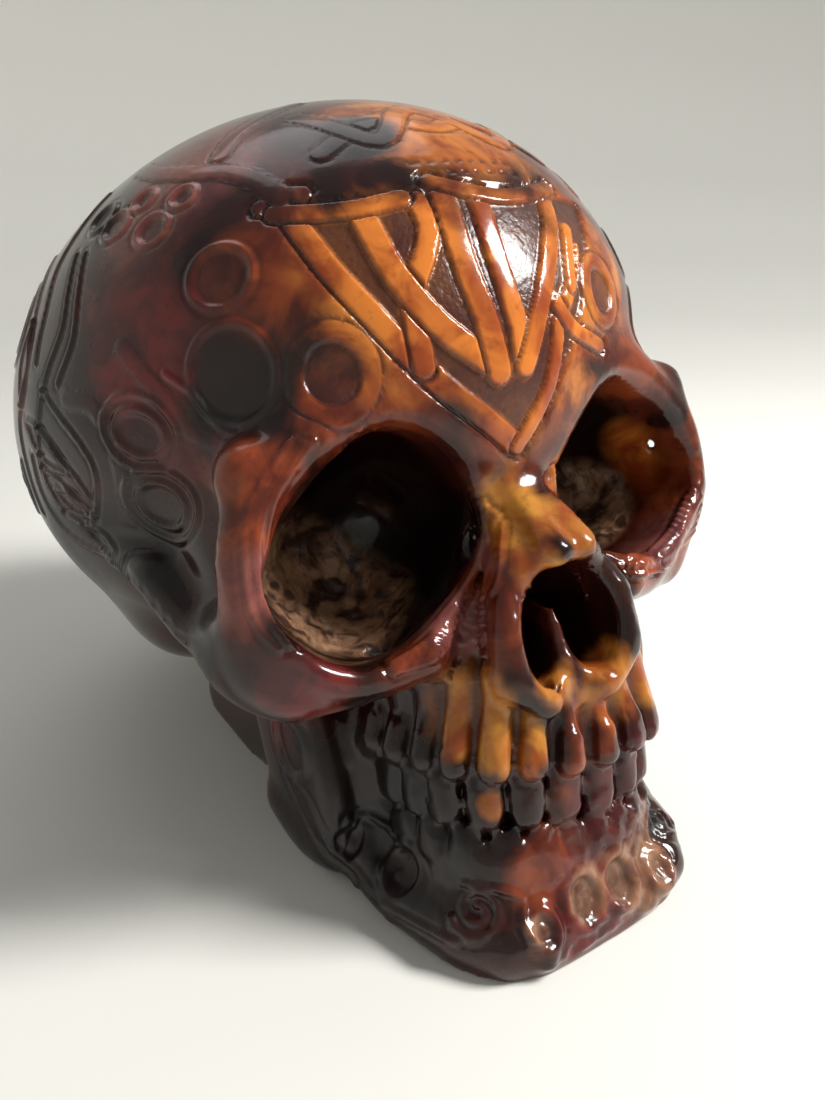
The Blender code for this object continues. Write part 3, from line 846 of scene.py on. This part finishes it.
# Rings on both sides: place, half width, half height, turn
RINGS = (
    ((-36, 15.2), 6.8, 6.4, 0),
    ((-36.3, 3.4), 9, 9.4, 0),
    ((-52, -1.8), 6.6, 4.8, -20),
    ((-52.3, -12.3), 6.2, 5.2, -15),
    ((-56, 29.5), 4.2, 3.8, 0),
    ((-47, 25.5), 4.2, 3.8, 0),
    ((-50.5, 32.5), 3.2, 3, 0),
    ((-42, 29.5), 3.2, 3, 0),
    ((-62, 33.5), 4.4, 4, 0),
    ((-95, 22), 8, 7, 10),
    ((-118, 4), 9, 8, 0),
    ((-140, 24), 7, 7, 0),
)
OUTER_RINGS = (
    ((-52, -1.8), 9.8, 7.8, -20),
    ((-52.3, -12.3), 9.6, 8.2, -15),
    ((-95, 22), 11.5, 10.5, 10),
    ((-118, 4), 12.5, 11.5, 0),
    ((-140, 24), 10.5, 10.5, 0),
)

# Bands, wires and leaves on both sides
SIDE_BANDS = (
    (1.9, ((-52, 9.5), (-48, 4), (-45.5, 0.5), (-43, -3), (-36.6, -5.4))),
    (1.8, ((-66, 5), (-60, 3.2), (-57.6, -1.5), (-57.8, -7), (-60.5, -14))),
    (2.2, ((-58, 44), (-50, 38.5), (-42, 34.5), (-33, 30.5), (-27, 24.5))),
)
SIDE_WIRES = (
    ((-45.5, 5), (-42, 1.8), (-40, -2), (-36.4, -4.6)),
    ((-67, 28), (-66, 21), (-66.5, 15), (-72, 9), (-77, 2.5), (-80.5, -5), (-79, -12)),
    ((-63.5, 27), (-62.5, 20), (-63, 13), (-68, 7.5)),
    ((-74, 8), (-69, 3), (-65, -1.5), (-63.5, -6), (-66.5, -11), (-71, -14)),
    ((-77, 2), (-73, -2), (-69.5, -6), (-67.5, -10)),
    ((-80.5, -4), (-76, -6), (-72.5, -9), (-70.5, -12.5)),
    ((-79, -12), (-75, -14), (-72, -17.5), (-66, -21), (-59, -22.5)),
    ((-84, -2), (-86, -9), (-84, -15), (-77, -19), (-70, -21)),
    ((-88, 34), (-82, 26), (-80, 18), (-82.5, 10), (-88, 4), (-90, -4), (-93, -12)),
    ((-70, 43), (-73, 35), (-75, 28), (-74, 20), (-76, 12)),
    ((-100, -4), (-106, -10), (-115, -14), (-126, -13), (-136, -7), (-140, 2)),
    ((-112, 22), (-120, 28), (-130, 28), (-136, 36)),
    ((-150, 8), (-157, -2), (-166, -8), (-180, -10)),
)
LEAVES = (
    ((-77, -1), 22, 7, -38),
    ((-73.5, -10.5), 15, 5, -30),
    ((-70.5, -17), 13, 4.5, -32),
    ((-83, 13), 20, 7, 70),
    ((-99, -7), 18, 6, 50),
    ((-128, -20), 22, 8, 10),
    ((-160, 14), 22, 9, 80),
)
CROWN_BANDS = (
    (2.2, ((-36, 36), (-34, 41), (-29, 46), (-20, 52))),
    (2.4, ((-20, 30), (-10, 36), (0, 34), (10, 37), (22, 30))),
    (2.4, ((-22, 42), (-11, 31), (0, 41), (11, 31), (24, 42))),
)
# Rows of dots on the crown: their latitudes, the run of their longitudes, and the size of a dot
DOT_ROWS = (24, 26)
DOT_RUN = (-8, 9, 2.2)
DOT = (1.1, 0.9, 0.4)
BACK_KNOT = (
    (2.4, ((150, 46), (165, 36), (180, 30), (195, 36), (210, 46))),
    (2.4, ((150, 30), (165, 40), (180, 46), (195, 40), (210, 30))),
    (2.2, ((168, 24), (172, 6), (180, -6), (188, 6), (192, 24))),
    (2.2, ((168, -8), (174, 6), (180, 20), (186, 6), (192, -8))),
)

# Jaw, on both sides: place, which way it faces, half width and height, turn, depth
JAW_OVALS = (
    ((-44, -41.5, -31), (-1, -0.1, 0), 7, 8.4, 10, 0.8),
    ((-37.5, -52, -53.8), (-1, -0.4, 0), 3.6, 4.8, -10, 0.7),
    ((-33.5, -66, -58.2), (-1, -0.4, 0.2), 5, 5.8, 0, 0.6),
    ((-16.5, -92, -68), (-0.2, -1, 0.2), 3.2, 4.4, 10, 0.7),
    ((-5, -91.5, -66.6), (0, -1, 0.2), 4.6, 6, -5, 0.8),
)
# Place, which way it faces, radius, turns and how far it is turned
JAW_SPIRAL = ((-26.5, -83, -63), (-0.75, -0.66, 0.2), 5.6, 1.7, 200)
JAW_WIRES = (
    ((-45, -43, -40), (-44, -47, -43), (-43, -49, -49), (-41, -50, -55), (-39, -56, -60), (-38, -66, -64),
     (-36, -74, -66), (-32, -82, -68)),
    ((-44, -36, -40), (-44, -42, -48), (-42, -47, -56), (-39, -54, -63)),
    ((-26, -80, -58), (-22, -86, -59), (-19, -89, -62), (-21, -91, -66), (-19, -93, -70)),
    ((-38, -48, -51), (-35, -52, -48.5), (-32, -57, -50), (-30, -62, -53)),
)
# Bundles of fine ridges on the rim of the sockets: their two outer ridges and how many there are
FIBRE_LIFT = 4.0
FIBRE_WAVE = (0.35, 7)
CHEEK_FIBRES = (
    ((-8, -86, 14), (-13, -89, 5), (-16, -86, -4), (-25, -85, -8), (-36, -83, -10)),
    ((-9, -80, 20), (-11, -82, 11), (-18, -82, 2), (-27, -81, -4), (-36, -79, -8)),
    7,
)
RIM_FIBRES = (
    ((-48, -79, 37), (-54, -79, 31), (-58, -78, 25), (-60, -78, 16), (-60, -78, 7), (-57, -79, 0)),
    ((-44, -81, 36), (-49, -80, 31), (-53, -79.5, 26), (-55, -79.5, 18), (-55, -79.5, 9), (-52, -80, 1)),
    5,
)
SILL_FIBRES = (
    ((20, -86, 3), (36, -80, -1), (48, -78, 2), (57, -77, 8)),
    ((20, -88, -4), (34, -84, -6), (47, -79, -5), (58, -75, -1)),
    5,
)


def inside_outline(lon, lat, outline, soft):
    """How far places lie inside a convex outline, from 0 at its edge to 1."""
    depth = np.full(len(lon), 1e6)
    centre = np.mean(outline, axis=0)
    for a, b in zip(outline, outline[1:] + outline[:1]):
        along = np.subtract(b, a)
        inward = np.array((-along[1], along[0])) / np.hypot(*along)
        if inward @ (centre - a) < 0:
            inward = -inward
        depth = np.minimum(depth, (lon - a[0]) * inward[0] + (lat - a[1]) * inward[1])
    return ease(depth, 0.0, soft)


def carve_knot(c):
    q = c.p - BRAINCASE_CENTRE
    lon = np.degrees(np.arctan2(q[:, 0], -q[:, 1]))
    lat = np.degrees(np.arcsin(q[:, 2] / np.linalg.norm(q, axis=1)))
    field = inside_outline(lon, lat, KNOT_FIELD, KNOT_EDGE)
    # The sunk ground of the knot is marked as pit: painted shade darkens it and it takes a purple-brown of
    # its own
    c.height -= KNOT_DEPTH * field
    c.pit = np.maximum(c.pit, field)
    for half, stations in KNOT:
        c.lay_strap(on_crown(stations), half)
    for place, outer, inner, high in KNOT_RINGS:
        patch = crown_patch(place)
        path = outlined(patch, ellipse((outer + inner) / 2, (high + inner) / 2))
        c.lay_strap(path, (outer - inner) / 2, **RING_STRAP)
        c.sink(patch, inner, inner * KNOT_RING_TALL, KNOT_RING_DEPTH)


def carve_sides(c):
    for flip in (1.0, -1.0):
        for half, stations in SIDE_BANDS:
            c.lay_strap(on_crown(stations, flip), half, **SIDE_STRAP)
        for place, wide, high, turn in OUTER_RINGS + RINGS:
            path = outlined(crown_patch(place, flip), ellipse(wide, high), turn, flip)
            c.lay_wire(path, *RING_WIRE)
        for place, wide, high, turn in RINGS:
            c.sink(crown_patch(place, flip), wide - RING_INSET, high - RING_INSET, RING_DEPTH,
                   turn, flip, dark=0.5)
        for place, length, width, turn in LEAVES:
            path = outlined(crown_patch(place, flip), leaf(length, width), turn, flip)
            c.lay_wire(path, *SIDE_WIRE)
        for stations in SIDE_WIRES:
            c.lay_wire(on_crown(stations, flip), *SIDE_WIRE)


def carve_crown(c):
    for half, stations in CROWN_BANDS + BACK_KNOT:
        c.lay_strap(on_crown(stations), half, **CROWN_STRAP)
    for lat in DOT_ROWS:
        for lon in np.arange(*DOT_RUN):
            c.sink(crown_patch((lon, lat)), *DOT, dark=0.7)


def from_mouth(x, y, z):
    """A point given in the frame of the slanting row of teeth, in the skull's own frame."""
    x, z = pitched(x, z - MOUTH_Z, MOUTH_TILT)
    return np.array((x, y, z + MOUTH_Z))


def carve_roots(c):
    """Grooves between the roots of the upper teeth, which run up toward the nose and cheeks."""
    teeth = list(tooth_places(UPPER_WIDTHS, ROOT_SET_IN))
    for flip in (1.0, -1.0):
        for (number, _, (xa, ya), _), (_, _, (xb, yb), _) in zip(teeth, teeth[1:]):
            x, y = (xa + xb) / 2, (ya + yb) / 2
            gum = GUM_Z + UPPER_RISE[number] * GUM_FOLLOW
            tall = ROOT_LENGTHS[number] + 1.0
            path = [from_mouth(flip * x * (1.0 - ROOT_GATHER * t), y, gum + tall * t)
                    for t in GROOVE_STATIONS]
            c.cut_line(curve(path), *ROOT_GROOVE)
    front = ARCH_BACK - ARCH_LENGTH + 1.0
    middle = [from_mouth(0.0, front, GUM_Z + tall) for tall in FRONT_GROOVE_HEIGHTS]
    c.cut_line(curve(middle), *FRONT_GROOVE)


def carve_jaw(c):
    for flip in (1.0, -1.0):
        sign = np.array((flip, 1.0, 1.0))
        for place, facing, wide, high, turn, depth in JAW_OVALS:
            patch = (place * sign, facing * sign)
            c.lay_wire(outlined(patch, ellipse(wide, high), turn, flip), *JAW_OVAL_WIRE)
            c.sink(patch, wide - RING_INSET, high - RING_INSET, depth, turn, flip, dark=0.4)
        place, facing, radius, turns, turn = JAW_SPIRAL
        path = drawn((place * sign, facing * sign), spiral(radius, turns), turn, flip)
        c.lay_wire(curve(path), *SPIRAL_WIRE)
        for stations in JAW_WIRES:
            c.lay_wire(curve(np.array(stations) * sign), *JAW_WIRE)
        lay_fibres(c, CHEEK_FIBRES, sign, FIBRE_LIFT * (flip < 0))
    lay_fibres(c, RIM_FIBRES)
    lay_fibres(c, SILL_FIBRES)


def lay_fibres(c, bundle, sign=1.0, lift=0.0):
    first, last, count = bundle
    sway, pace = FIBRE_WAVE
    for t in np.linspace(0.0, 1.0, count):
        stations = np.array(first) * (1 - t) + np.array(last) * t + sway * math.sin(pace * t)
        stations[:, 2] += lift
        c.lay_wire(curve(stations * sign), *FIBRE_WIRE)


# Dye, painted shade and glow, and lumps

# Where each dye lies: x, y, z and reach of its dabs, in millimetres
DYES = {
    "ember": ((-46, -74, 66, 20), (-34, -84, 42, 22), (-60, -77, 18, 17), (-54, -79, 32, 14),
              (34, -80, 44, 24), (-13, -86, -2, 18), (54, -70, 8, 24), (0, -88, 32, 18),
              (-30, -86, -12, 14), (2, -92, -32, 11), (32, -83, -4, 13), (58, -72, 24, 12),
              (-9, -95, 1, 8), (-11, -89, -58, 15), (-3, -93, -40, 10), (0, 30, 112, 30),
              (-40, 50, 80, 24), (32, 52, 88, 26)),
    "amber": ((-22, -84, 62, 26), (4, -90, 56, 32), (2, -70, 97, 30), (24, -82, 66, 22),
              (12, -87, 20, 9)),
    "rose": ((-44, -48, 96, 24), (-58, -44, 84, 14), (-48, -74, -18, 8), (56, -70, -6, 20),
             (34, -70, 84, 16), (44, -80, -1, 17), (56, -30, 88, 22), (-61, -78, 12, 12),
             (-21, -83, -3, 12), (-11, -86, 9, 8)),
    "gold": ((-7, -90, 15, 13), (-8, -95, 6, 8), (1, -93, 11, 9), (-23, -86, -22, 15),
             (-15, -91, -29, 10), (-7, -93, -19, 9), (9, -92, -19, 9), (9, -94, -27, 11),
             (21, -87, -25, 12), (-22, -87, -41, 5)),
    "ruby": ((3, -91, -48, 11), (13, -88, -50, 11), (2, -96, -72, 26), (-45, -44, -26, 14),
             (-62, -52, 58, 24), (-56, -62, 46, 18), (14, -90, -38, 10), (-52, -76, -8, 13)),
    "olive": ((-69, 4, 8, 20), (66, 10, 14, 20)),
    "tan": ((11, -91, -68, 14), (-5, -91, -66, 8), (-18, -91, -69, 6), (40, -76, -12, 10)),
    # char: black dye of the resin, and painted shade in its dabs over the near molars, at (-30, -74, -50)
    # and (-31, -74, -34)
    "char_and_shade": ((-84, 14, 20, 40), (-70, -34, 16, 22), (-72, -20, 52, 16), (-40, -56, -54, 40),
             (-30, -74, -50, 17), (-31, -74, -34, 12), (0, 86, 20, 60), (76, 6, 24, 44),
             (-52, -68, 48, 15), (-18, -70, 94, 12), (36, -56, -52, 30), (10, 20, 118, 16),
             (-62, -62, 2, 12), (22, -80, -64, 9)),
}
CRUST = ((-34, -52, 2, 22), (42, -52, 6, 16))
# Painted glow: where light shining through the thin wall of the far eye socket is painted as amber
PAINTED_GLOW = ((55, -71, 22, 18),)
LUMPS = (
    # centre, reach, size of the lumps and how high they stand
    ((0.0, -96.0, -66.0), 26.0, 9.0, 1.0),
    ((-30.0, -84.0, -62.0), 12.0, 8.0, 0.6),
    ((30.0, -84.0, -62.0), 12.0, 8.0, 0.6),
)
SOCKET_LUMPS = (6.0, 1.3)
LUMP_FADE = 8.0
# Where the masks of dye and of the hollows, with their painted shade, begin and end
CRUST_DEPTH = (0.45, 1.0)
CRUST_EDGE = (0.0, 0.35)
SOCKET_SHADE = (5.0, 13.0)
NOSTRIL_SHADE = (-89.0, -82.0)
HOLLOW_SKIN = 2.0
TOOTH_EDGE = (0.15, 0.5)
TOOTH_TOP = (-1.5, 0.5)
BASE_FADE = (1.0, 4.0)


def lumps(p, pick, size, seed):
    """Smooth noise between about -1 and 1 at the picked points."""
    offset = Vector((seed, 2 * seed, 3 * seed))
    return np.array([noise.fractal(Vector(v) / size + offset, 0.7, 2.0, 3) for v in p[pick]])


def add_lumps(c, crust):
    for centre, reach, size, tall in LUMPS:
        away = np.linalg.norm(c.p - np.array(centre), axis=1)
        pick = np.nonzero(away < reach)[0]
        fade = ease(reach - away[pick], 0.0, LUMP_FADE)
        c.height[pick] += tall * fade * lumps(c.p, pick, size, 1.0)
    size, tall = SOCKET_LUMPS
    pick = np.nonzero(crust > 0.0)[0]
    c.height[pick] += tall * crust[pick] * lumps(c.p, pick, size, 5.0)


def socket_depth(p):
    """From 0 at the rim of the eye sockets and nostrils to 1 in their depth."""
    face = face_frame(p.T)
    x, y, _ = face
    in_socket = np.abs(socket_hollow(face)) < HOLLOW_SKIN
    socket = np.where(in_socket, ease(y - socket_plane(x), *SOCKET_SHADE), 0.0)
    in_nostril = np.abs(nose_hollow(face)) < HOLLOW_SKIN
    nostril = np.where(in_nostril, ease(y, *NOSTRIL_SHADE), 0.0)
    return np.maximum(socket, nostril)


def dab(p, places):
    """From 0 at the edge of the nearest dab to 1 at its centre."""
    best = np.zeros(len(p))
    for *centre, reach in places:
        best = np.maximum(best, 1.0 - np.linalg.norm(p - np.array(centre), axis=1) / reach)
    return best


def teeth_mask(p):
    mouth = mouth_frame(p.T)
    near = np.minimum(upper_teeth(mouth), lower_teeth(mouth))
    below = 1.0 - ease(mouth[2], GUM_Z + TOOTH_TOP[0], GUM_Z + TOOTH_TOP[1])
    return (1.0 - ease(near, *TOOTH_EDGE)) * below


def carved(p, normal):
    carving = Carving(p, normal)
    for step in (carve_knot, carve_crown, carve_sides, carve_jaw, carve_roots):
        step(carving)
    return carving


def plain_skin():
    """Points, normals and triangles of the skin before it is carved, finer where it will be."""
    p, quads = surface_nets(*fine_grid(), FINE_CELL)
    triangles = np.concatenate([quads[:, (0, 1, 2)], quads[:, (0, 2, 3)]])
    p, normal, _ = on_surface(p)
    p, triangles = refined(p, triangles, carved(p, normal).height != 0.0)
    p, normal, free = on_surface(p)
    return relaxed(p, normal, triangles), normal, free, triangles


def on_stand(p):
    """The skin in metres, leaning back on the table, over the middle of the solids."""
    y, z = pitched(p[:, 1], p[:, 2], LEAN)
    placed = np.stack([p[:, 0], y, z - TABLE], 1) * MM
    placed[:, 2] = np.maximum(placed[:, 2], 0.0)
    middle = (placed.min(axis=0) + placed.max(axis=0)) / 2
    cad_middle = (np.array(CAD_BOX[0]) + np.array(CAD_BOX[1])) / 2
    placed[:, :2] += (cad_middle - middle)[:2]
    return placed


def add_object(name, data):
    thing = bpy.data.objects.new(name, data)
    bpy.context.collection.objects.link(thing)
    return thing


def smooth_object(name, points, faces):
    mesh = bpy.data.meshes.new(name)
    mesh.from_pydata(points, [], faces)
    mesh.shade_smooth()
    return add_object(name, mesh)


def make_skin():
    p, normal, free, triangles = plain_skin()
    carving = carved(p, normal)
    # How deep into the eye sockets and nostrils each point lies: it sets the painted shade and the painted
    # glow there
    hollow = socket_depth(p)
    crust = ease(hollow, *CRUST_DEPTH) * ease(dab(p, CRUST), *CRUST_EDGE)
    add_lumps(carving, crust)
    _, height = pitched(p[:, 1], p[:, 2], LEAN)
    carving.height *= free * ease(height - TABLE, *BASE_FADE)
    masks = {name: dab(p, places) for name, places in DYES.items()}
    masks.update(strap=carving.strap, pit=carving.pit, line=carving.line, tooth=teeth_mask(p),
                 hollow=hollow, crust=crust, glow=dab(p, PAINTED_GLOW))
    placed = on_stand(p + normal * carving.height[:, None])
    skin = smooth_object("skull_skin", placed.tolist(), triangles.tolist())
    for name, values in masks.items():
        layer = skin.data.attributes.new(name, "FLOAT", "POINT")
        layer.data.foreach_set("value", values.astype(np.float32))
    return skin


# Material


def set_inputs(node, settings):
    for key, value in settings.items():
        node.inputs[key].default_value = value


class Nodes:
    """Short calls for building a node tree."""

    def __init__(self, tree):
        self.tree = tree

    def add(self, kind, **settings):
        node = self.tree.nodes.new(kind)
        for key, value in settings.items():
            setattr(node, key, value)
        return node

    def feed(self, socket, value):
        if isinstance(value, (int, float, tuple)):
            socket.default_value = value
        else:
            self.tree.links.new(value, socket)

    def math(self, operation, a, b):
        node = self.add("ShaderNodeMath", operation=operation)
        self.feed(node.inputs[0], a)
        self.feed(node.inputs[1], b)
        return node.outputs[0]

    def times(self, a, b):
        return self.math("MULTIPLY", a, b)

    def mask(self, name):
        return self.add("ShaderNodeAttribute", attribute_name=name).outputs["Fac"]

    def noise(self, scale, detail, distortion=0.0):
        place = self.add("ShaderNodeTexCoord").outputs["Object"]
        node = self.add("ShaderNodeTexNoise")
        self.feed(node.inputs["Vector"], place)
        set_inputs(node, {"Scale": scale, "Detail": detail, "Distortion": distortion,
                          "Roughness": NOISE_ROUGHNESS})
        return node.outputs["Fac"]

    def step(self, value, low, high):
        node = self.add("ShaderNodeMapRange", interpolation_type="SMOOTHSTEP")
        self.feed(node.inputs["Value"], value)
        set_inputs(node, {"From Min": low, "From Max": high})
        return node.outputs["Result"]

    def mix(self, factor, a, b, blend="MIX"):
        node = self.add("ShaderNodeMix", data_type="RGBA", blend_type=blend)
        self.feed(node.inputs["Factor"], factor)
        self.feed(node.inputs["A"], a)
        self.feed(node.inputs["B"], b)
        return node.outputs["Result"]

    def tinted(self, colour, tint):
        return self.mix(1.0, colour, tint, "MULTIPLY")

    def over(self, colour, mask, strength, top):
        """One colour laid over another where the mask is."""
        return self.mix(self.times(mask, strength), colour, top)


def tone(red, green, blue):
    return (red, green, blue, 1.0)


NOISE_ROUGHNESS = 0.55
# Noises: scale, detail, distortion
CLOUD = (38.0, 4.0, 1.2)
DRIFT = (90.0, 3.0, 0.6)
SPECKS = (420.0, 3.0)
CRUMBS = (140.0, 4.0, 1.0)
STIPPLE = (650.0, 2.0)
CRUMBLE = (210.0, 5.0, 0.8)
MAROON = tone(0.050, 0.009, 0.006)
DEEP = tone(0.013, 0.004, 0.003)
PURPLE = tone(0.048, 0.018, 0.018)
# The two colours of the painted glow in the far eye socket
PAINTED_GLOW_AMBER = tone(0.50, 0.15, 0.018)
PAINTED_GLOW_RUST = tone(0.26, 0.040, 0.008)
UMBER = tone(0.060, 0.028, 0.020)
OCHRE = tone(0.42, 0.23, 0.13)
# What multiplies the dye under a mask, and how strongly: painted shade in pits and hollows, a painted
# highlight on wires
STRAP_TINT, STRAP_STRENGTH = tone(1.35, 1.25, 1.1), 0.8
# Pits: darkened as painted shade, and mixed with the purple-brown of the sunk ground
PIT_SHADE_TINT, PIT_STRENGTH = tone(0.20, 0.17, 0.22), 0.92
PIT_PURPLE = 0.45
TOOTH_TINT, TOOTH_STRENGTH = tone(0.40, 0.22, 0.24), 0.75
HOLLOW_SHADE_TINT, HOLLOW_SHADE_STRENGTH = tone(0.30, 0.22, 0.20), 0.9
CRUST_STRENGTH = 0.9
LINE_HIGHLIGHT_TINT, LINE_HIGHLIGHT_STRENGTH = tone(1.5, 1.5, 1.6), 0.5
SPECK_STRENGTH = 0.25
# Roughness, and what hollows, clouds and char add to it
ROUGHNESS = (0.16, 0.14, 0.08, 0.16)
STIPPLE_HEIGHT = (0.8, 0.12)
CRUMBLE_HEIGHT = 4.0
BUMP = {"Strength": 0.35, "Distance": 0.0008}
FINISH = {"IOR": 1.37, "Coat Weight": 0.25, "Coat Roughness": 0.06, "Subsurface Weight": 0.12,
          "Subsurface Radius": (1.0, 0.35, 0.15), "Subsurface Scale": 0.004}
DYE_TONES = (
    # dye, its two tones, how far the noise moves its edge, and where its edge begins and ends
    ("ember", (0.21, 0.040, 0.012), (0.075, 0.012, 0.006), 0.60, 0.12, 0.62),
    ("amber", (0.50, 0.16, 0.028), (0.22, 0.042, 0.010), 0.50, 0.12, 0.50),
    ("rose", (0.22, 0.070, 0.055), (0.10, 0.024, 0.022), 0.45, 0.15, 0.60),
    ("gold", (0.52, 0.22, 0.034), (0.28, 0.060, 0.012), 0.55, 0.15, 0.55),
    ("ruby", (0.14, 0.016, 0.014), (0.055, 0.009, 0.009), 0.40, 0.10, 0.50),
    ("olive", (0.075, 0.055, 0.024), (0.035, 0.022, 0.012), 0.40, 0.15, 0.60),
    ("tan", (0.26, 0.13, 0.070), (0.10, 0.030, 0.020), 0.70, 0.15, 0.55),
    ("char_and_shade", (0.016, 0.009, 0.008), (0.007, 0.005, 0.005), 0.50, 0.10, 0.50),
)


def new_material(name):
    material = bpy.data.materials.new(name)
    material.use_nodes = True
    return material, material.node_tree.nodes["Principled BSDF"]


def dye_and_painted_light_colour(n, cloud, pit, crust):
    """Clouds of dye, lighter on the bands of the carving, with painted shade in its hollows, the eye sockets
    and nostrils, a painted highlight on its wires and a painted glow in the far socket.
    """
    drift = n.noise(*DRIFT)
    colour = n.mix(n.step(cloud, 0.38, 0.66), DEEP, MAROON)
    for name, light, dark, spread, low, high in DYE_TONES:
        body = n.mix(n.step(drift, 0.35, 0.65), tone(*dark), tone(*light))
        edge = n.math("ADD", n.mask(name), n.times(n.math("SUBTRACT", cloud, 0.5), spread * 2))
        colour = n.mix(n.step(edge, low, high), colour, body)
    colour = n.over(colour, n.mask("strap"), STRAP_STRENGTH, n.tinted(colour, STRAP_TINT))
    # Pits: painted shade darkens the carved hollows, and the sunk ground takes a purple-brown of its own
    sunk = n.mix(PIT_PURPLE, n.tinted(colour, PIT_SHADE_TINT), PURPLE)
    colour = n.over(colour, pit, PIT_STRENGTH, sunk)
    colour = n.over(colour, n.mask("tooth"), TOOTH_STRENGTH, n.tinted(colour, TOOTH_TINT))
    # Painted shade: the eye sockets and nostrils darker the deeper they go
    hollow = n.mask("hollow")
    colour = n.over(colour, hollow, HOLLOW_SHADE_STRENGTH, n.tinted(colour, HOLLOW_SHADE_TINT))
    # Painted glow: amber and rust painted deep in the far eye socket, as light coming through its wall
    glow = n.times(hollow, n.step(n.mask("glow"), 0.05, 0.45))
    colour = n.mix(glow, colour, n.mix(n.step(cloud, 0.35, 0.60), PAINTED_GLOW_AMBER, PAINTED_GLOW_RUST))
    crumbs = n.mix(n.step(n.noise(*CRUMBS), 0.36, 0.60), UMBER, OCHRE)
    colour = n.over(colour, crust, CRUST_STRENGTH, crumbs)
    # Painted highlight: the ridges of the wires lighter and cooler, as a reflection would make them
    colour = n.over(colour, n.mask("line"), LINE_HIGHLIGHT_STRENGTH, n.tinted(colour, LINE_HIGHLIGHT_TINT))
    return n.over(colour, n.step(n.noise(*SPECKS), 0.58, 0.70), SPECK_STRENGTH, DEEP)


def dyed_resin():
    """Glossy dyed resin, stippled in the hollows of the carving and rough on the crust."""
    material, shader = new_material("dyed_resin_with_painted_light")
    n = Nodes(material.node_tree)
    cloud = n.noise(*CLOUD)
    pit = n.mask("pit")
    crust = n.mask("crust")
    n.feed(shader.inputs["Base Color"], dye_and_painted_light_colour(n, cloud, pit, crust))
    rough, *added = ROUGHNESS
    rougher = (n.math("MAXIMUM", pit, crust), n.step(cloud, 0.4, 0.7), n.step(n.mask("char_and_shade"), 0.1, 0.6))
    for where, more in zip(rougher, added):
        rough = n.math("ADD", rough, n.times(where, more))
    n.feed(shader.inputs["Roughness"], rough)
    deep, plain = STIPPLE_HEIGHT
    stipple = n.times(n.noise(*STIPPLE), n.math("ADD", n.times(pit, deep), plain))
    crumble = n.times(n.noise(*CRUMBLE), n.times(crust, CRUMBLE_HEIGHT))
    bump = n.add("ShaderNodeBump")
    set_inputs(bump, BUMP)
    n.feed(bump.inputs["Height"], n.math("ADD", stipple, crumble))
    n.feed(shader.inputs["Normal"], bump.outputs["Normal"])
    set_inputs(shader, FINISH)
    return material


# Stage, lights and camera


# Half section of the floor and its wall, as radius and height in metres
BOWL = ((0.30, 0.0), (0.60, 0.0), (0.80, 0.015), (0.95, 0.06), (1.08, 0.15), (1.16, 0.30),
        (1.20, 0.60), (1.20, 1.20))
BOWL_SIDES = 96
FLOOR = {"Base Color": tone(0.80, 0.79, 0.75), "Roughness": 0.9, "Specular IOR Level": 0.1}


def bowl():
    """A pale floor that turns up into a wall all round, far outside the skull."""
    points = [(0.0, 0.0, 0.0)]
    for radius, height in BOWL:
        for turn in np.arange(BOWL_SIDES) * 2 * math.pi / BOWL_SIDES:
            points.append((radius * math.cos(turn), radius * math.sin(turn), height))
    faces = [(0, 1 + i, 1 + (i + 1) % BOWL_SIDES) for i in range(BOWL_SIDES)]
    for ring in range(len(BOWL) - 1):
        a = 1 + ring * BOWL_SIDES
        for i in range(BOWL_SIDES):
            j = (i + 1) % BOWL_SIDES
            faces.append((a + i, a + BOWL_SIDES + i, a + BOWL_SIDES + j, a + j))
    floor = smooth_object("floor", points, faces)
    material, shader = new_material("pale_floor")
    set_inputs(shader, FLOOR)
    floor.data.materials.append(material)


def add_light(name, azimuth, elevation, distance, size, spread, watts, colour):
    light = bpy.data.lights.new(name, "AREA")
    light.shape = "RECTANGLE"
    light.size, light.size_y = size
    light.energy = watts
    light.color = colour
    light.spread = math.radians(spread)
    holder = add_object(name, light)
    holder.location = LIT_SPOT + Vector(toward(azimuth, elevation)) * distance
    holder.rotation_euler = (LIT_SPOT - holder.location).to_track_quat("-Z", "Y").to_euler()


LIT_SPOT = Vector((0.07, 0.0, 0.07))
LIGHTS = (
    # name, azimuth, elevation, distance, size, spread, watts, colour
    ("window", 46.0, 44.0, 0.95, (0.28, 0.35), 140.0, 8.4, (1.0, 0.99, 0.96)),
    ("back", 170.0, 60.0, 1.1, (0.8, 0.6), 150.0, 1.2, (1.0, 1.0, 1.0)),
)
SKY = {"Color": tone(0.93, 0.96, 1.0), "Strength": 0.28}
CAMERA_PLACE = (-0.1148, -0.2069, 0.1519)
CAMERA_TURN = (-32.868, 22.555)
LENS = 29.50
SENSOR = 36.0
CLIP_START = 0.01


def add_camera():
    camera = bpy.data.cameras.new("camera")
    camera.sensor_width = SENSOR
    camera.lens = LENS
    camera.clip_start = CLIP_START
    holder = add_object("camera", camera)
    holder.location = CAMERA_PLACE
    holder.rotation_euler = Vector(toward(*CAMERA_TURN)).to_track_quat("Z", "Y").to_euler()
    bpy.context.scene.camera = holder


def light_scene():
    world = bpy.data.worlds.new("studio")
    bpy.context.scene.world = world
    world.use_nodes = True
    set_inputs(world.node_tree.nodes["Background"], SKY)
    bpy.context.scene.view_settings.view_transform = "Standard"
    for light in LIGHTS:
        add_light(*light)


def main():
    skin = make_skin()
    skin.data.materials.append(dyed_resin())
    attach(skin, "root")
    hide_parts("cranium", "cheekbone_right", "cheekbone_left", "upper_jaw", "lower_jaw")
    bowl()
    light_scene()
    add_camera()


main()
